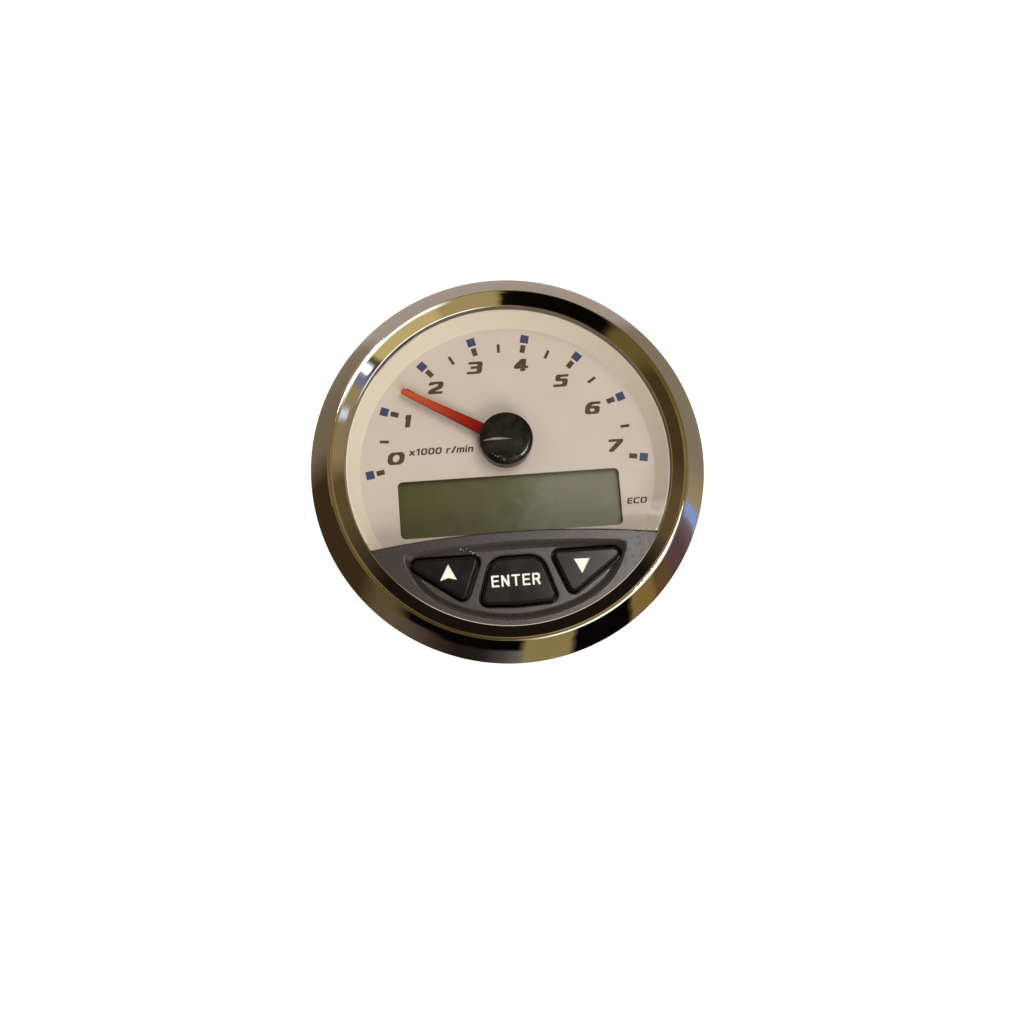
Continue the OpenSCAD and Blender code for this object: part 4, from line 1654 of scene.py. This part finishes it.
@dataclass
class Key:
    """One rubber key with its white legend."""

    layout: Layout
    name: str
    corners: tuple[Spot, ...]
    centre: Flat
    body: Body
    gap: float = 0.4
    edge_round: float = 0.8
    flange: float = 0.6
    post_r: float = 1.7
    foot_t: float = 0.7
    sunk: float = 0.3
    post_sunk: float = 0.1
    ink: Flat = (-0.01, 0.03)

    def build(self, rubber: bpy.types.Material) -> None:
        """Moulds the key, with its flange and its post.

        Args:
            rubber: The key's finish.
        """
        lay, base = self.layout, self.layout.key_low
        hull = RoundedHull(self.corners)
        rings = [hull.outline(-self.gap - step) for step in edge_steps(self.edge_round, 8)]
        cap = plate(f"{self.name}_cap", rings, lambda x, y: True,
                    lambda x, y: lay.key_top - fall(hull.depth(x, y) - self.gap, self.edge_round),
                    level(base + self.sunk))
        foot = plate(f"{self.name}_foot", [hull.outline(self.flange - self.gap)], lambda x, y: True,
                     level(base + self.foot_t), level(base))
        top, end = base + self.post_sunk, base - KEY_POST
        section = [(CORE, top), (self.post_r, top), (self.post_r, end), (CORE, end)]
        post = turned(f"{self.name}_post", section, 48, self.centre)
        moulding = joined(f"{self.name}_key", [cap, foot, post])
        fit(moulding, self.body, rubber, [f"{self.name}_button"])

    def legend(self, white: bpy.types.Material, outlines: Sequence[Sequence[Vector]]) -> None:
        """Prints outlines on the key's face."""
        low, high = (self.layout.key_top + height for height in self.ink)
        fit(inked(f"{self.name}_legend", outlines, low, high), self.body, white)

    def arrow(self, white: bpy.types.Material, corners: Sequence[Flat]) -> None:
        """Prints an arrow whose base is notched."""
        self.legend(white, [[Vector(corners[i]) for i in half] for half in ((0, 1, 2), (0, 2, 3))])

    def word(self, white: bpy.types.Material, text: str, left: Flat, size: Flat) -> None:
        """Prints a word."""
        self.legend(white, KEY_PEN.written(text, left, size))


def hexagon(across: float, centre: Flat) -> list[Flat]:
    """The corners of a hexagon, its size given across its flats."""
    return circle(across / 2 / math.cos(math.pi / 6), 6, centre)


@dataclass
class RearFixings:
    """The threaded studs and the two round sockets on the back."""

    layout: Layout
    stud_place: Flat = (26.0, 8.0)
    stud_r: float = 2.5
    stud_pitch: float = 0.8
    shank_r: float = 3.1
    shank_ends: Flat = (-2.0, 2.0)
    overlap: float = 0.05
    head: Flat = (8.0, 2.5)
    socket_place: Flat = (14.0, -21.0)
    socket_r: float = 6.0
    socket_pitch: float = 1.0
    socket_length: float = 15.0
    socket_bore: float = 4.4
    nut_round: float = 0.3
    corner_in: float = 0.35
    nut_h: float = 3.0
    nut: float = 17.0
    stem_r: float = 5.5
    stem_top: float = 4.0

    @staticmethod
    def threaded(name: str, centre: Flat, radius: float, bore: float, pitch: float, low: float,
                 high: float) -> bpy.types.Object:
        """A threaded rod, or a tube if bore is above 0, with a bevel at its lower end.

        Args:
            name: The piece's name.
            centre: Where its axis stands.
            radius: Radius over the thread.
            bore: Radius of the bore.
            pitch: Rise of the thread in one turn.
            low: Its lower end.
            high: Its upper end, where the thread runs out.

        Returns:
            The rod or tube.
        """
        around, depth, half_width, row_step = 48, 0.54 * pitch, 0.44, 0.12 * pitch
        run_out, bevel_at = 0.8 * pitch, 0.7 * pitch
        rows = [low + row_step * i for i in range(int((high - low) / row_step) + 1)] + [high]
        points: list[Spot] = []
        for z in rows:
            for i in range(around):
                phase = (z / pitch - i / around) % 1.0
                groove = depth * max(0.0, 1 - abs(phase - 0.5) / half_width) * min(1.0, (high - z) / run_out)
                cut = max(groove, bevel_at - (z - low), 0.0)
                points.append((*polar(radius - cut, 360 * i / around, centre), z))
        faces = []

        def band(here: int, there: int) -> None:
            """Joins two rings of points by faces.

            Args:
                here: Number of the first point of one ring.
                there: The same of the other ring.
            """
            for i in range(around):
                j = (i + 1) % around
                faces.append((here + i, here + j, there + j, there + i))

        for row in range(len(rows) - 1):
            band(row * around, (row + 1) * around)
        last = (len(rows) - 1) * around
        if bore > 0:
            inner = len(points)
            points += [(*p, z) for z in (low, high) for p in circle(bore, around, centre)]
            for here, there in ((0, inner), (inner, inner + around), (last, inner + around)):
                band(here, there)
        else:
            faces += [list(range(around)), list(range(last, last + around))]
        return piece(name, points, faces, 50.0)

    def studs(self, brass: bpy.types.Material) -> None:
        """The two studs: a thread, a shank in the case and a hexagon inside it.

        Args:
            brass: The studs' finish.
        """
        lay = self.layout
        low, high = (lay.case_back + end for end in self.shank_ends)
        end = low - self.overlap
        section = [(CORE, end), (self.shank_r, end), (self.shank_r, high), (CORE, high)]
        across, height = self.head
        parts = []
        for side in (-1, 1):
            centre = (side * self.stud_place[0], self.stud_place[1])
            parts.append(self.threaded("stud_thread", centre, self.stud_r, 0, self.stud_pitch, lay.rest_z,
                                       low))
            parts.append(turned("stud_shank", section, 48, centre))
            parts.append(plate("stud_head", [hexagon(across, centre)], lambda x, y: True,
                               level(high + height), level(high)))
        fit(joined("threaded_studs", parts), Body.INSTRUMENT, brass, ["mounting_studs"])

    def sockets(self, nickel: bpy.types.Material) -> None:
        """The shells of the two sockets: a threaded mouth, a hexagon and a stem.

        Args:
            nickel: The shells' finish.
        """
        low, bore = self.layout.rest_z, self.socket_bore
        high = low + self.socket_length
        nut_top, stem_top = high + self.nut_h, self.layout.case_back + self.stem_top
        section = [(bore, nut_top), (self.stem_r, nut_top), (self.stem_r, stem_top), (bore, stem_top)]
        parts = []
        for side in (-1, 1):
            centre = (side * self.socket_place[0], self.socket_place[1])
            parts.append(self.threaded("socket_thread", centre, self.socket_r, bore, self.socket_pitch, low,
                                       high))
            corner_r = self.nut / 2 / math.cos(math.pi / 6) - self.corner_in
            flats = RoundedHull([(x, y, self.nut_round) for x, y in circle(corner_r, 6, centre)], 60)
            parts.append(plate("socket_hexagon", [flats.outline(), circle(bore, 60, centre)],
                               lambda x, y, c=centre: math.hypot(x - c[0], y - c[1]) > bore,
                               level(nut_top), level(high)))
            parts.append(turned("socket_stem", section, 60, centre))
        fit(joined("socket_shells", parts), Body.INSTRUMENT, nickel, ["connector_shells"])


@dataclass
class Wear:
    """Marks of use that the instrument shows: scratches as lines, nicks and crumbs as places with sizes."""

    layout: Layout
    panel: KeyPanel
    ink: Flat = (-0.01, 0.012)
    speck_half: float = 0.05
    sunk: float = 0.04
    scratch: tuple[Flat, ...] = ((-6.1, 6.95), (-4.9, 7.3), (-3.6, 7.52), (-2.3, 7.58), (-1.0, 7.46),
                                 (0.5, 7.2), (1.6, 7.0))
    scratch_width: float = 0.05
    graze: tuple[Flat, ...] = ((-1.7, 2.35), (-1.25, 2.0), (-0.85, 1.75), (-0.55, 1.35))
    graze_width: float = 0.16
    graze_sunk: float = 0.01
    nicks: tuple[Spot, ...] = ((-3.1, 2.75, 0.16), (-2.5, 2.5, 0.2), (-1.9, 2.6, 0.14), (-3.8, 3.3, 0.1),
                               (3.9, 5.6, 0.09))
    crumbs: tuple[Spot, ...] = ((-13.7, -21.3, 0.3), (-13.0, -21.55, 0.16), (-12.2, -21.3, 0.2),
                                (-11.3, -21.9, 0.24), (-10.6, -22.4, 0.3), (-9.9, -22.2, 0.14),
                                (-9.5, -23.0, 0.22))
    key_nicks: tuple[Spot, ...] = ((5.7, -33.6, 0.2),)
    key_sunk: float = 0.2

    def streak(self, name: str, spots: Sequence[Flat], width: float, height: float,
               material: bpy.types.Material) -> None:
        """Adds a thin scratch to the pointer's cap.

        Args:
            name: The scratch's name.
            spots: Where it runs.
            width: Its width in the middle, half as much at its ends.
            height: Where it lies.
            material: Its finish.
        """
        left, right = [], []
        for i, spot in enumerate(spots):
            before, after = Vector(spots[max(i - 1, 0)]), Vector(spots[min(i + 1, len(spots) - 1)])
            way = (after - before).normalized()
            share = 0.5 + 0.5 * math.sin(math.pi * i / (len(spots) - 1))
            side = Vector((-way.y, way.x)) * width / 2 * share
            left.append(Vector(spot) + side)
            right.append(Vector(spot) - side)
        low, high = (height + up for up in self.ink)
        fit(inked(name, [left + right[::-1]], low, high), Body.POINTER, material)

    def specks(self, name: str, spots: Sequence[Spot], height: Surface, body: Body,
               material: bpy.types.Material) -> None:
        """Adds small crumbs or nicks.

        Args:
            name: The name of them all.
            spots: x, y and size of each.
            height: Where they lie.
            body: What they lie on.
            material: Their finish.
        """
        parts = []
        for number, (x, y, size) in enumerate(spots):
            outline = [polar(size * (0.7 + 0.3 * math.sin(5 * number + 2.3 * i)), 60 * i, (x, y))
                       for i in range(6)]
            high, low = height(x, y) + self.speck_half, height(x, y) - self.speck_half
            parts.append(plate(f"{name}_{number}", [outline], lambda a, b: True, level(high), level(low)))
        fit(joined(name, parts), body, material)

    def build(self) -> None:
        """Adds the scratches, crumbs and nicks."""
        pale = Print("scratched_plastic", tone(176, 168, 160), 0.5, 0.2, 1.0).make()
        worn = Print("scratched_cap", tone(126, 112, 98), 0.5, 0.3, 1.0).make()
        cap_top, key_top = Layout.box("hub_cap")[1].z, self.layout.key_top
        self.streak("cap_scratch", self.scratch, self.scratch_width, cap_top, worn)
        self.streak("cap_graze", self.graze, self.graze_width, cap_top - self.graze_sunk, pale)
        for name, spots, height, body in (
                ("cap_nicks", self.nicks, level(cap_top - self.sunk), Body.POINTER),
                ("panel_crumbs", self.crumbs, self.panel.top, Body.INSTRUMENT),
                ("enter_nick", self.key_nicks, level(key_top - self.key_sunk), Body.ENTER)):
            self.specks(name, spots, height, body, pale)


PALETTE: dict[str, Colour] = {
    "amber": tone(136, 110, 60), "black": tone(9, 6, 5), "blue": tone(142, 164, 214),
    "brass": tone(148, 130, 84), "bright": tone(205, 182, 124), "bronze": tone(99, 81, 57),
    "brown": tone(97, 79, 51), "coal": tone(28, 22, 18), "cream": tone(224, 214, 196),
    "dark_brown": tone(62, 47, 26), "dull": tone(136, 116, 66), "dusk": tone(122, 107, 85),
    "far_lamp": tone(226, 232, 244), "gold": tone(172, 152, 100), "haze": tone(116, 104, 106),
    "lamp": (2.4, 2.5, 2.6, 1.0), "mauve": tone(94, 70, 68), "olive": tone(108, 91, 50),
    "pale": tone(174, 160, 149), "rust": tone(103, 76, 50), "sand": tone(162, 143, 108),
    "shade": tone(74, 56, 32), "soot": tone(10, 7, 5), "straw": tone(160, 141, 103),
    "tan": tone(148, 129, 94), "taupe": tone(138, 124, 105), "umber": tone(68, 57, 43),
    "violet": tone(123, 123, 148), "white": (1.5, 1.48, 1.42, 1.0),
}


@dataclass(frozen=True)
class Zone:
    """Tones round the pole of the surroundings, from the zone before it out to an angle.

    Each tone is an angle round the pole with a name of the palette, or with red, green and blue.
    """

    reach: float
    tones: str
    blur: float = 0.8

    def stops(self) -> list[tuple[float, Colour]]:
        """The tones in order, each with its share of the way round.

        Returns:
            Shares and colours, from the lowest share up.
        """
        stops = []
        for entry in self.tones.split(", "):
            angle, name = entry.split()
            colour = tone(*(float(c) for c in name.split("/"))) if "/" in name else PALETTE[name]
            stops.append(((float(angle) + 180) % 360 / 360, colour))
        return sorted(stops)


def outer_tones(shadow: str) -> str:
    """Tones that the ring's outer slope mirrors, with the given ones at its dark lower left.

    Args:
        shadow: Entries from 221 to 272.5 degrees.

    Returns:
        All the entries of a zone.
    """
    return ("0 sand, 10 taupe, 51 taupe, 56 pale, 122 pale, 127 taupe, 146 dusk, 158 dusk, 169 dark_brown, "
            f"205 dark_brown, 214 bronze, {shadow}, 273.5 brass, 291.5 brass, 293 black, 316 black, "
            "317.5 amber, 327 amber, 329 rust, 335.5 rust, 337 mauve, 345 mauve, 351 haze, 353 blue, "
            "356 blue, 357.5 sand")


def inner_tones(upper_left: str) -> str:
    """Tones that the ring's inner slope mirrors, with the given ones at its upper left.

    Args:
        upper_left: Entries from 321 degrees on.

    Returns:
        All the entries of a zone.
    """
    return ("0 tan, 8 brown, 20 brown, 33 umber, 46 coal, 133 coal, 141 umber, 146 brown, 160 brown, "
            "173 shade, 205 shade, 215 olive, 226 olive, 229.5 soot, 269 soot, 270.5 gold, 291 gold, "
            f"293 bright, 319.5 bright, 321 shade, {upper_left}")


# The room from its pole outward: centre, crest, inner slope with two lamps, the same without them,
# shoulder, ridge, the ridge's line, and the outer slope from its upper edge to the rim
ROOM = (
    Zone(11.0, "4 brown, 36 brown, 60 umber, 89 brown, 118 olive, 153 brown, 200 shade, 262 olive, 300 dull, "
               "347 olive", 1.2),
    Zone(24.3, "79 dull, 100 gold, 137 gold, 150 dull, 185 dull, 200 olive, 224 olive, 231 black, 267 black, "
               "271 gold, 286 gold, 293 white, 334 white, 342 dull"),
    Zone(35.0, inner_tones("323.3 shade, 323.9 lamp, 327.1 lamp, 327.7 violet, 331 violet, 334 straw, "
                           "341.4 straw, 342.2 far_lamp, 345.4 far_lamp, 346.2 tan")),
    Zone(43.5, inner_tones("331 violet, 334 straw, 345 tan"), 1.2),
    Zone(68.0, "9 dull, 48 dull, 62 cream, 128 cream, 146 dull, 213 dull, 230 olive, 260 olive, 273 gold, "
               "282 white, 333 white, 342 dull"),
    Zone(79.0, "9 dull, 48 dull, 60 olive, 90 olive, 100 gold, 137 gold, 146 dull, 213 dull, 230 olive, "
               "260 olive, 273 gold, 282 white, 333 white, 342 dull"),
    Zone(86.0, "9 taupe, 56 taupe, 62 pale, 137 pale, 146 dusk, 163 dusk, 180 umber, 222 umber, 229 black, "
               "270 black, 274 gold, 284 white, 333 white, 342 taupe"),
    Zone(100.5, outer_tones("222 brown, 229 black, 272.5 black")),
    Zone(107.0, outer_tones("222 brown, 231 80/67/56, 243 black, 272.5 black"), 3.0),
    Zone(180.0, outer_tones("221 102/85/64, 231 84/70/60, 240 57/47/38, 249 36/28/24, 258 40/32/28, "
                            "266 82/70/68, 272.5 111/103/97"), 3.0),
)


@dataclass
class Surroundings:
    """The room as the chrome mirrors it: a dome and a table top, which only shiny surfaces see.

    Seen from the camera, a level mirror shows the pole. A mirror that leans shows a place
    twice as far from the pole as it leans, on the side that it leans to.
    """

    table_z: float
    pole: Flat = (12.69, -2.52)
    dome_r: float = 1500.0
    dome_foot: float = 92.5
    table_r: float = 60.0
    dome_top: float = 0.2
    wobble: float = 0.02
    wobble_scale: float = 5.0
    steps: tuple[int, int] = (32, 96)

    def build(self) -> None:
        """Makes the dome and the table top."""
        glow = self.glow()
        rows, around = self.steps
        dome: list[Spot] = []
        for i in range(rows + 1):
            turn = math.radians(self.dome_top + (self.dome_foot - self.dome_top) * i / rows)
            dome += [(x, y, self.dome_r * math.cos(turn))
                     for x, y in circle(self.dome_r * math.sin(turn), around)]
        table = [(x, y, self.table_z) for r in (self.table_r, self.dome_r) for x, y in circle(r, around)]
        for name, points in (("room_dome", dome), ("room_table", table)):
            faces = []
            for i in range(0, len(points) - around, around):
                for j in range(around):
                    k = (j + 1) % around
                    faces.append((i + j, i + k, i + around + k, i + around + j))
            wall = piece(name, points, faces)
            wall.data.materials.append(glow)
            wall.visible_camera = wall.visible_diffuse = False
            wall.visible_shadow = wall.visible_transmission = False

    def direction(self, recipe: Recipe) -> bpy.types.NodeSocket:
        """The direction from the instrument, turned so that the pole lies along Z, with a slight wobble.

        Args:
            recipe: The room's material.

        Returns:
            The socket that gives it.
        """
        way = recipe.add("ShaderNodeVectorMath", operation="NORMALIZE")
        recipe.link(recipe.place, way.inputs[0])
        turned_way = recipe.add("ShaderNodeMapping")
        turned_way.inputs["Rotation"].default_value = (*(math.radians(a) for a in self.pole), 0)
        recipe.link(way.outputs["Vector"], turned_way.inputs["Vector"])
        cloud = recipe.add("ShaderNodeTexNoise")
        cloud.inputs["Scale"].default_value = self.wobble_scale
        recipe.link(turned_way.outputs["Vector"], cloud.inputs["Vector"])
        centred = recipe.add("ShaderNodeVectorMath", operation="SUBTRACT")
        recipe.link(turned_way.outputs["Vector"], centred.inputs[0])
        centred.inputs[1].default_value = (self.wobble / 2,) * 3
        shift = recipe.add("ShaderNodeVectorMath", operation="MULTIPLY_ADD")
        recipe.link(cloud.outputs["Color"], shift.inputs[0])
        shift.inputs[1].default_value = (self.wobble,) * 3
        recipe.link(centred.outputs["Vector"], shift.inputs[2])
        return shift.outputs["Vector"]

    def glow(self) -> bpy.types.Material:
        """A glow whose tone depends on the direction from the instrument.

        Returns:
            The finished material.
        """
        recipe = Recipe("room_glow", (0, 0, 0, 1), 1.0)
        way = self.direction(recipe)
        around = recipe.add("ShaderNodeTexGradient", gradient_type="RADIAL")
        recipe.link(way, around.inputs["Vector"])
        split = recipe.add("ShaderNodeSeparateXYZ")
        recipe.link(way, split.inputs["Vector"])
        lean = recipe.add("ShaderNodeMath", operation="ARCCOSINE", use_clamp=False)
        recipe.link(split.outputs["Z"], lean.inputs[0])
        seen = recipe.ramp(around.outputs["Fac"], ROOM[0].stops())
        for before, zone in zip(ROOM, ROOM[1:]):
            ring = recipe.ramp(around.outputs["Fac"], zone.stops())
            start, end = math.radians(before.reach - zone.blur), math.radians(before.reach + zone.blur)
            seen = recipe.blend(recipe.between(lean.outputs["Value"], start, end), seen, ring)
        light = recipe.add("ShaderNodeEmission")
        recipe.link(seen, light.inputs["Color"])
        return recipe.end_with(light.outputs["Emission"])


@dataclass(frozen=True)
class Lamp:
    """A soft square lamp that looks at the dial, and with sheen shows in shiny things too."""

    name: str
    place: Spot
    size: float
    power: float
    colour: Spot
    sheen: bool = False

    def hang(self) -> None:
        """Adds the lamp to the scene."""
        data = bpy.data.lights.new(self.name, "AREA")
        data.size, data.energy, data.color = self.size * MM, self.power, self.colour
        lamp = bpy.data.objects.new(self.name, data)
        lamp.location = Vector(self.place) * MM
        lamp.rotation_euler = (-lamp.location).to_track_quat("-Z", "Y").to_euler()
        lamp.visible_glossy = self.sheen
        bpy.context.scene.collection.objects.link(lamp)


@dataclass
class Studio:
    """The camera, the lamps, the pale floor and the room that the chrome mirrors."""

    layout: Layout
    picture_focus: float = 1950.0
    picture_width: float = 1024.0
    sensor: float = 36.0
    clip: Flat = (0.01, 20.0)
    tilt: Spot = (-11.81, 1.71, 4.37)
    shift: Flat = (-1.06, 11.09)
    distance: float = 502.0
    datum: float = 0.4
    floor_reach: float = 3000.0
    floor_glow: float = 0.8
    floor_tone: float = 0.42
    table_up: float = 0.3
    fill: Colour = (1.0, 0.985, 0.965, 1.0)
    fill_strength: float = 0.6
    lamps: tuple[Lamp, ...] = (
        Lamp("key_lamp", (320.0, 400.0, 950.0), 380.0, 4.2, (1.0, 0.98, 0.95)),
        Lamp("front_lamp", (250.0, -700.0, 720.0), 500.0, 6.1, (1.0, 0.985, 0.96)),
        Lamp("sheen_lamp", (188.0, 143.0, 1060.0), 80.0, 1.6, (1.0, 0.98, 0.96), True),
    )

    def camera(self) -> None:
        """Sets the camera where the photograph was taken."""
        data = bpy.data.cameras.new("camera")
        data.sensor_width = self.sensor
        data.lens = self.sensor * self.picture_focus / self.picture_width
        data.clip_start, data.clip_end = self.clip
        camera = bpy.data.objects.new("camera", data)
        x, y, z = (Matrix.Rotation(math.radians(a), 3, axis) for a, axis in zip(self.tilt, "XYZ"))
        turn = (x @ y @ z).transposed()
        back = turn @ Vector((-self.shift[0], -self.shift[1], self.distance))
        place = back + Vector((0, 0, self.datum))
        camera.matrix_world = Matrix.Translation(place * MM) @ turn.to_4x4()
        bpy.context.scene.collection.objects.link(camera)
        bpy.context.scene.camera = camera

    def backdrop(self) -> None:
        """Makes the floor that the instrument lies on, white to the camera but for its shadow."""
        corners = [(self.floor_reach * x, self.floor_reach * y, self.layout.rest_z)
                   for x, y in ((1, 1), (-1, 1), (-1, -1), (1, -1))]
        floor = piece("studio_floor", corners, [(0, 1, 2, 3)])
        recipe = Recipe("floor_paper", (0.86, 0.86, 0.86, 1.0), 0.9)
        white = recipe.add("ShaderNodeEmission")
        white.inputs["Strength"].default_value = self.floor_glow
        paper = recipe.add("ShaderNodeBsdfDiffuse")
        paper.inputs["Color"].default_value = (*(self.floor_tone,) * 3, 1.0)
        both = recipe.add("ShaderNodeAddShader")
        recipe.link(white.outputs["Emission"], both.inputs[0])
        recipe.link(paper.outputs["BSDF"], both.inputs[1])
        seen = recipe.mixed(recipe.seen_directly(), recipe.shader.outputs["BSDF"], both.outputs["Shader"])
        recipe.link(seen, recipe.tree.nodes["Material Output"].inputs["Surface"])
        floor.data.materials.append(recipe.material)

    def world(self) -> None:
        """Makes a white background over an even fill light."""
        world = bpy.data.worlds.new("studio")
        world.use_nodes = True
        bpy.context.scene.world = world
        nodes = Nodes(world.node_tree)
        light = nodes.tree.nodes["Background"]
        light.inputs["Color"].default_value = self.fill
        light.inputs["Strength"].default_value = self.fill_strength
        white = nodes.add("ShaderNodeBackground")
        white.inputs["Color"].default_value = (1, 1, 1, 1)
        seen = nodes.mixed(nodes.seen_directly(), light.outputs["Background"], white.outputs["Background"])
        nodes.link(seen, nodes.tree.nodes["World Output"].inputs["Surface"])

    def build(self) -> None:
        """Sets up the whole studio."""
        self.camera()
        self.backdrop()
        self.world()
        for lamp in self.lamps:
            lamp.hang()
        Surroundings(self.layout.rest_z + self.table_up).build()


def dress_inner_works() -> None:
    """Finishes the nodes whose shape stays as the frame has it."""
    finishes = (
        (Moulding("soft_rubber", (0.03, 0.03, 0.03, 1), 0.6), "dash_gasket"),
        (Moulding("lens_seal", tone(123, 108, 96), 0.5), "lens_gasket"),
        (GrainedPlastic("case_moulding", (0.022, 0.022, 0.024, 1), 0.45, 0.5, 0.02), "case"),
        (Moulding("white_moulding", (0.72, 0.71, 0.68, 1), 0.45),
         "up_plunger enter_plunger down_plunger light_housing lcd_light_guide stepper_motor"),
        (Moulding("black_moulding", (0.02, 0.02, 0.022, 1), 0.4),
         "key_switches board_header lcd_frame board_chips connector_inserts vent_plug"),
        (CircuitBoard(), "main_board button_board"),
        (Metal("screw_steel", (0.56, 0.56, 0.57, 1), 0.25), "panel_screws module_screws pointer_shaft"),
        (Moulding("strip_rubber", tone(196, 150, 144), 0.6), "lcd_contact_strips"),
        (Metal("can_aluminium", (0.6, 0.61, 0.63, 1), 0.35), "capacitors"),
        (Moulding("led_phosphor", tone(226, 206, 96), 0.3), "board_leds"),
        (Metal("nut_nickel", (0.62, 0.6, 0.55, 1), 0.22), "connector_nuts"),
        (Metal("contact_gold", (0.83, 0.6, 0.24, 1), 0.18), "connector_pins"),
        (Moulding("lead_red", tone(150, 26, 22), 0.4), "connector_leads"),
    )
    for finish, nodes in finishes:
        paint(finish.make(), *nodes.split())


def main() -> None:
    """Builds the instrument in order, then the studio round it."""
    logging.basicConfig(level=logging.INFO, format="%(message)s")
    bpy.context.scene.view_settings.view_transform = "Standard"
    layout = Layout.read()
    Bezel(layout).build(Chrome().make())
    LensPane(layout).build(Pane("lens_acrylic").make())
    dial = DialFace(layout)
    dark = Print("dark_ink", tone(66, 54, 36), 0.5, 0.1, 2.0).make()
    dial.cut(Print("dial_paper", tone(187, 174, 164), 0.6, 0.025, 14.0).make())
    dial.ink_all(Print("blue_ink", tone(52, 54, 92), 0.5, 0.1, 2.0).make(), dark)
    SpacerRing(layout).build(Moulding("ring_plastic", tone(220, 208, 191), 0.45, 0.0).make())
    Display().build(DisplayGlass().make())
    Needle(layout).build(PointerPaint().make(layout))
    HubCap(layout).build(Moulding("hub_plastic", tone(14, 10, 8), 0.16, 0.45, 0.001, 0.18).make())
    panel = KeyPanel(layout)
    panel.build(GrainedPlastic("panel_moulding", tone(41, 34, 32), 0.3, 0.3, 0.006, 0.28, 0.5).make())
    rubber = Moulding("key_rubber", tone(17, 15, 14), 0.19, 0.05, 0.0006, 0.15).make()
    white = Print("legend_white", tone(222, 214, 200), 0.5, 0.05, 2.0).make()
    up = Key(layout, "up", mirrored(KEY_CORNERS), (-16.6, -27.0), Body.UP)
    enter = Key(layout, "enter", MIDDLE_CORNERS, (0.0, -31.2), Body.ENTER)
    down = Key(layout, "down", KEY_CORNERS, (16.6, -27.0), Body.DOWN)
    for key in (up, enter, down):
        key.build(rubber)
    up.arrow(white, ((-17.16, -25.0), (-19.45, -29.05), (-17.32, -28.41), (-15.23, -29.02)))
    down.arrow(white, ((16.38, -29.56), (14.55, -25.76), (16.43, -26.23), (18.49, -25.86)))
    enter.word(white, "ENTER", (-6.6, -31.62), (12.3, 2.95))
    rear = RearFixings(layout)
    rear.studs(Metal("stud_brass", (0.72, 0.53, 0.27, 1), 0.3).make())
    rear.sockets(Metal("shell_nickel", (0.66, 0.64, 0.6, 1), 0.2).make())
    dress_inner_works()
    Wear(layout, panel).build()
    Studio(layout).build()


if __name__ == "__main__":
    main()
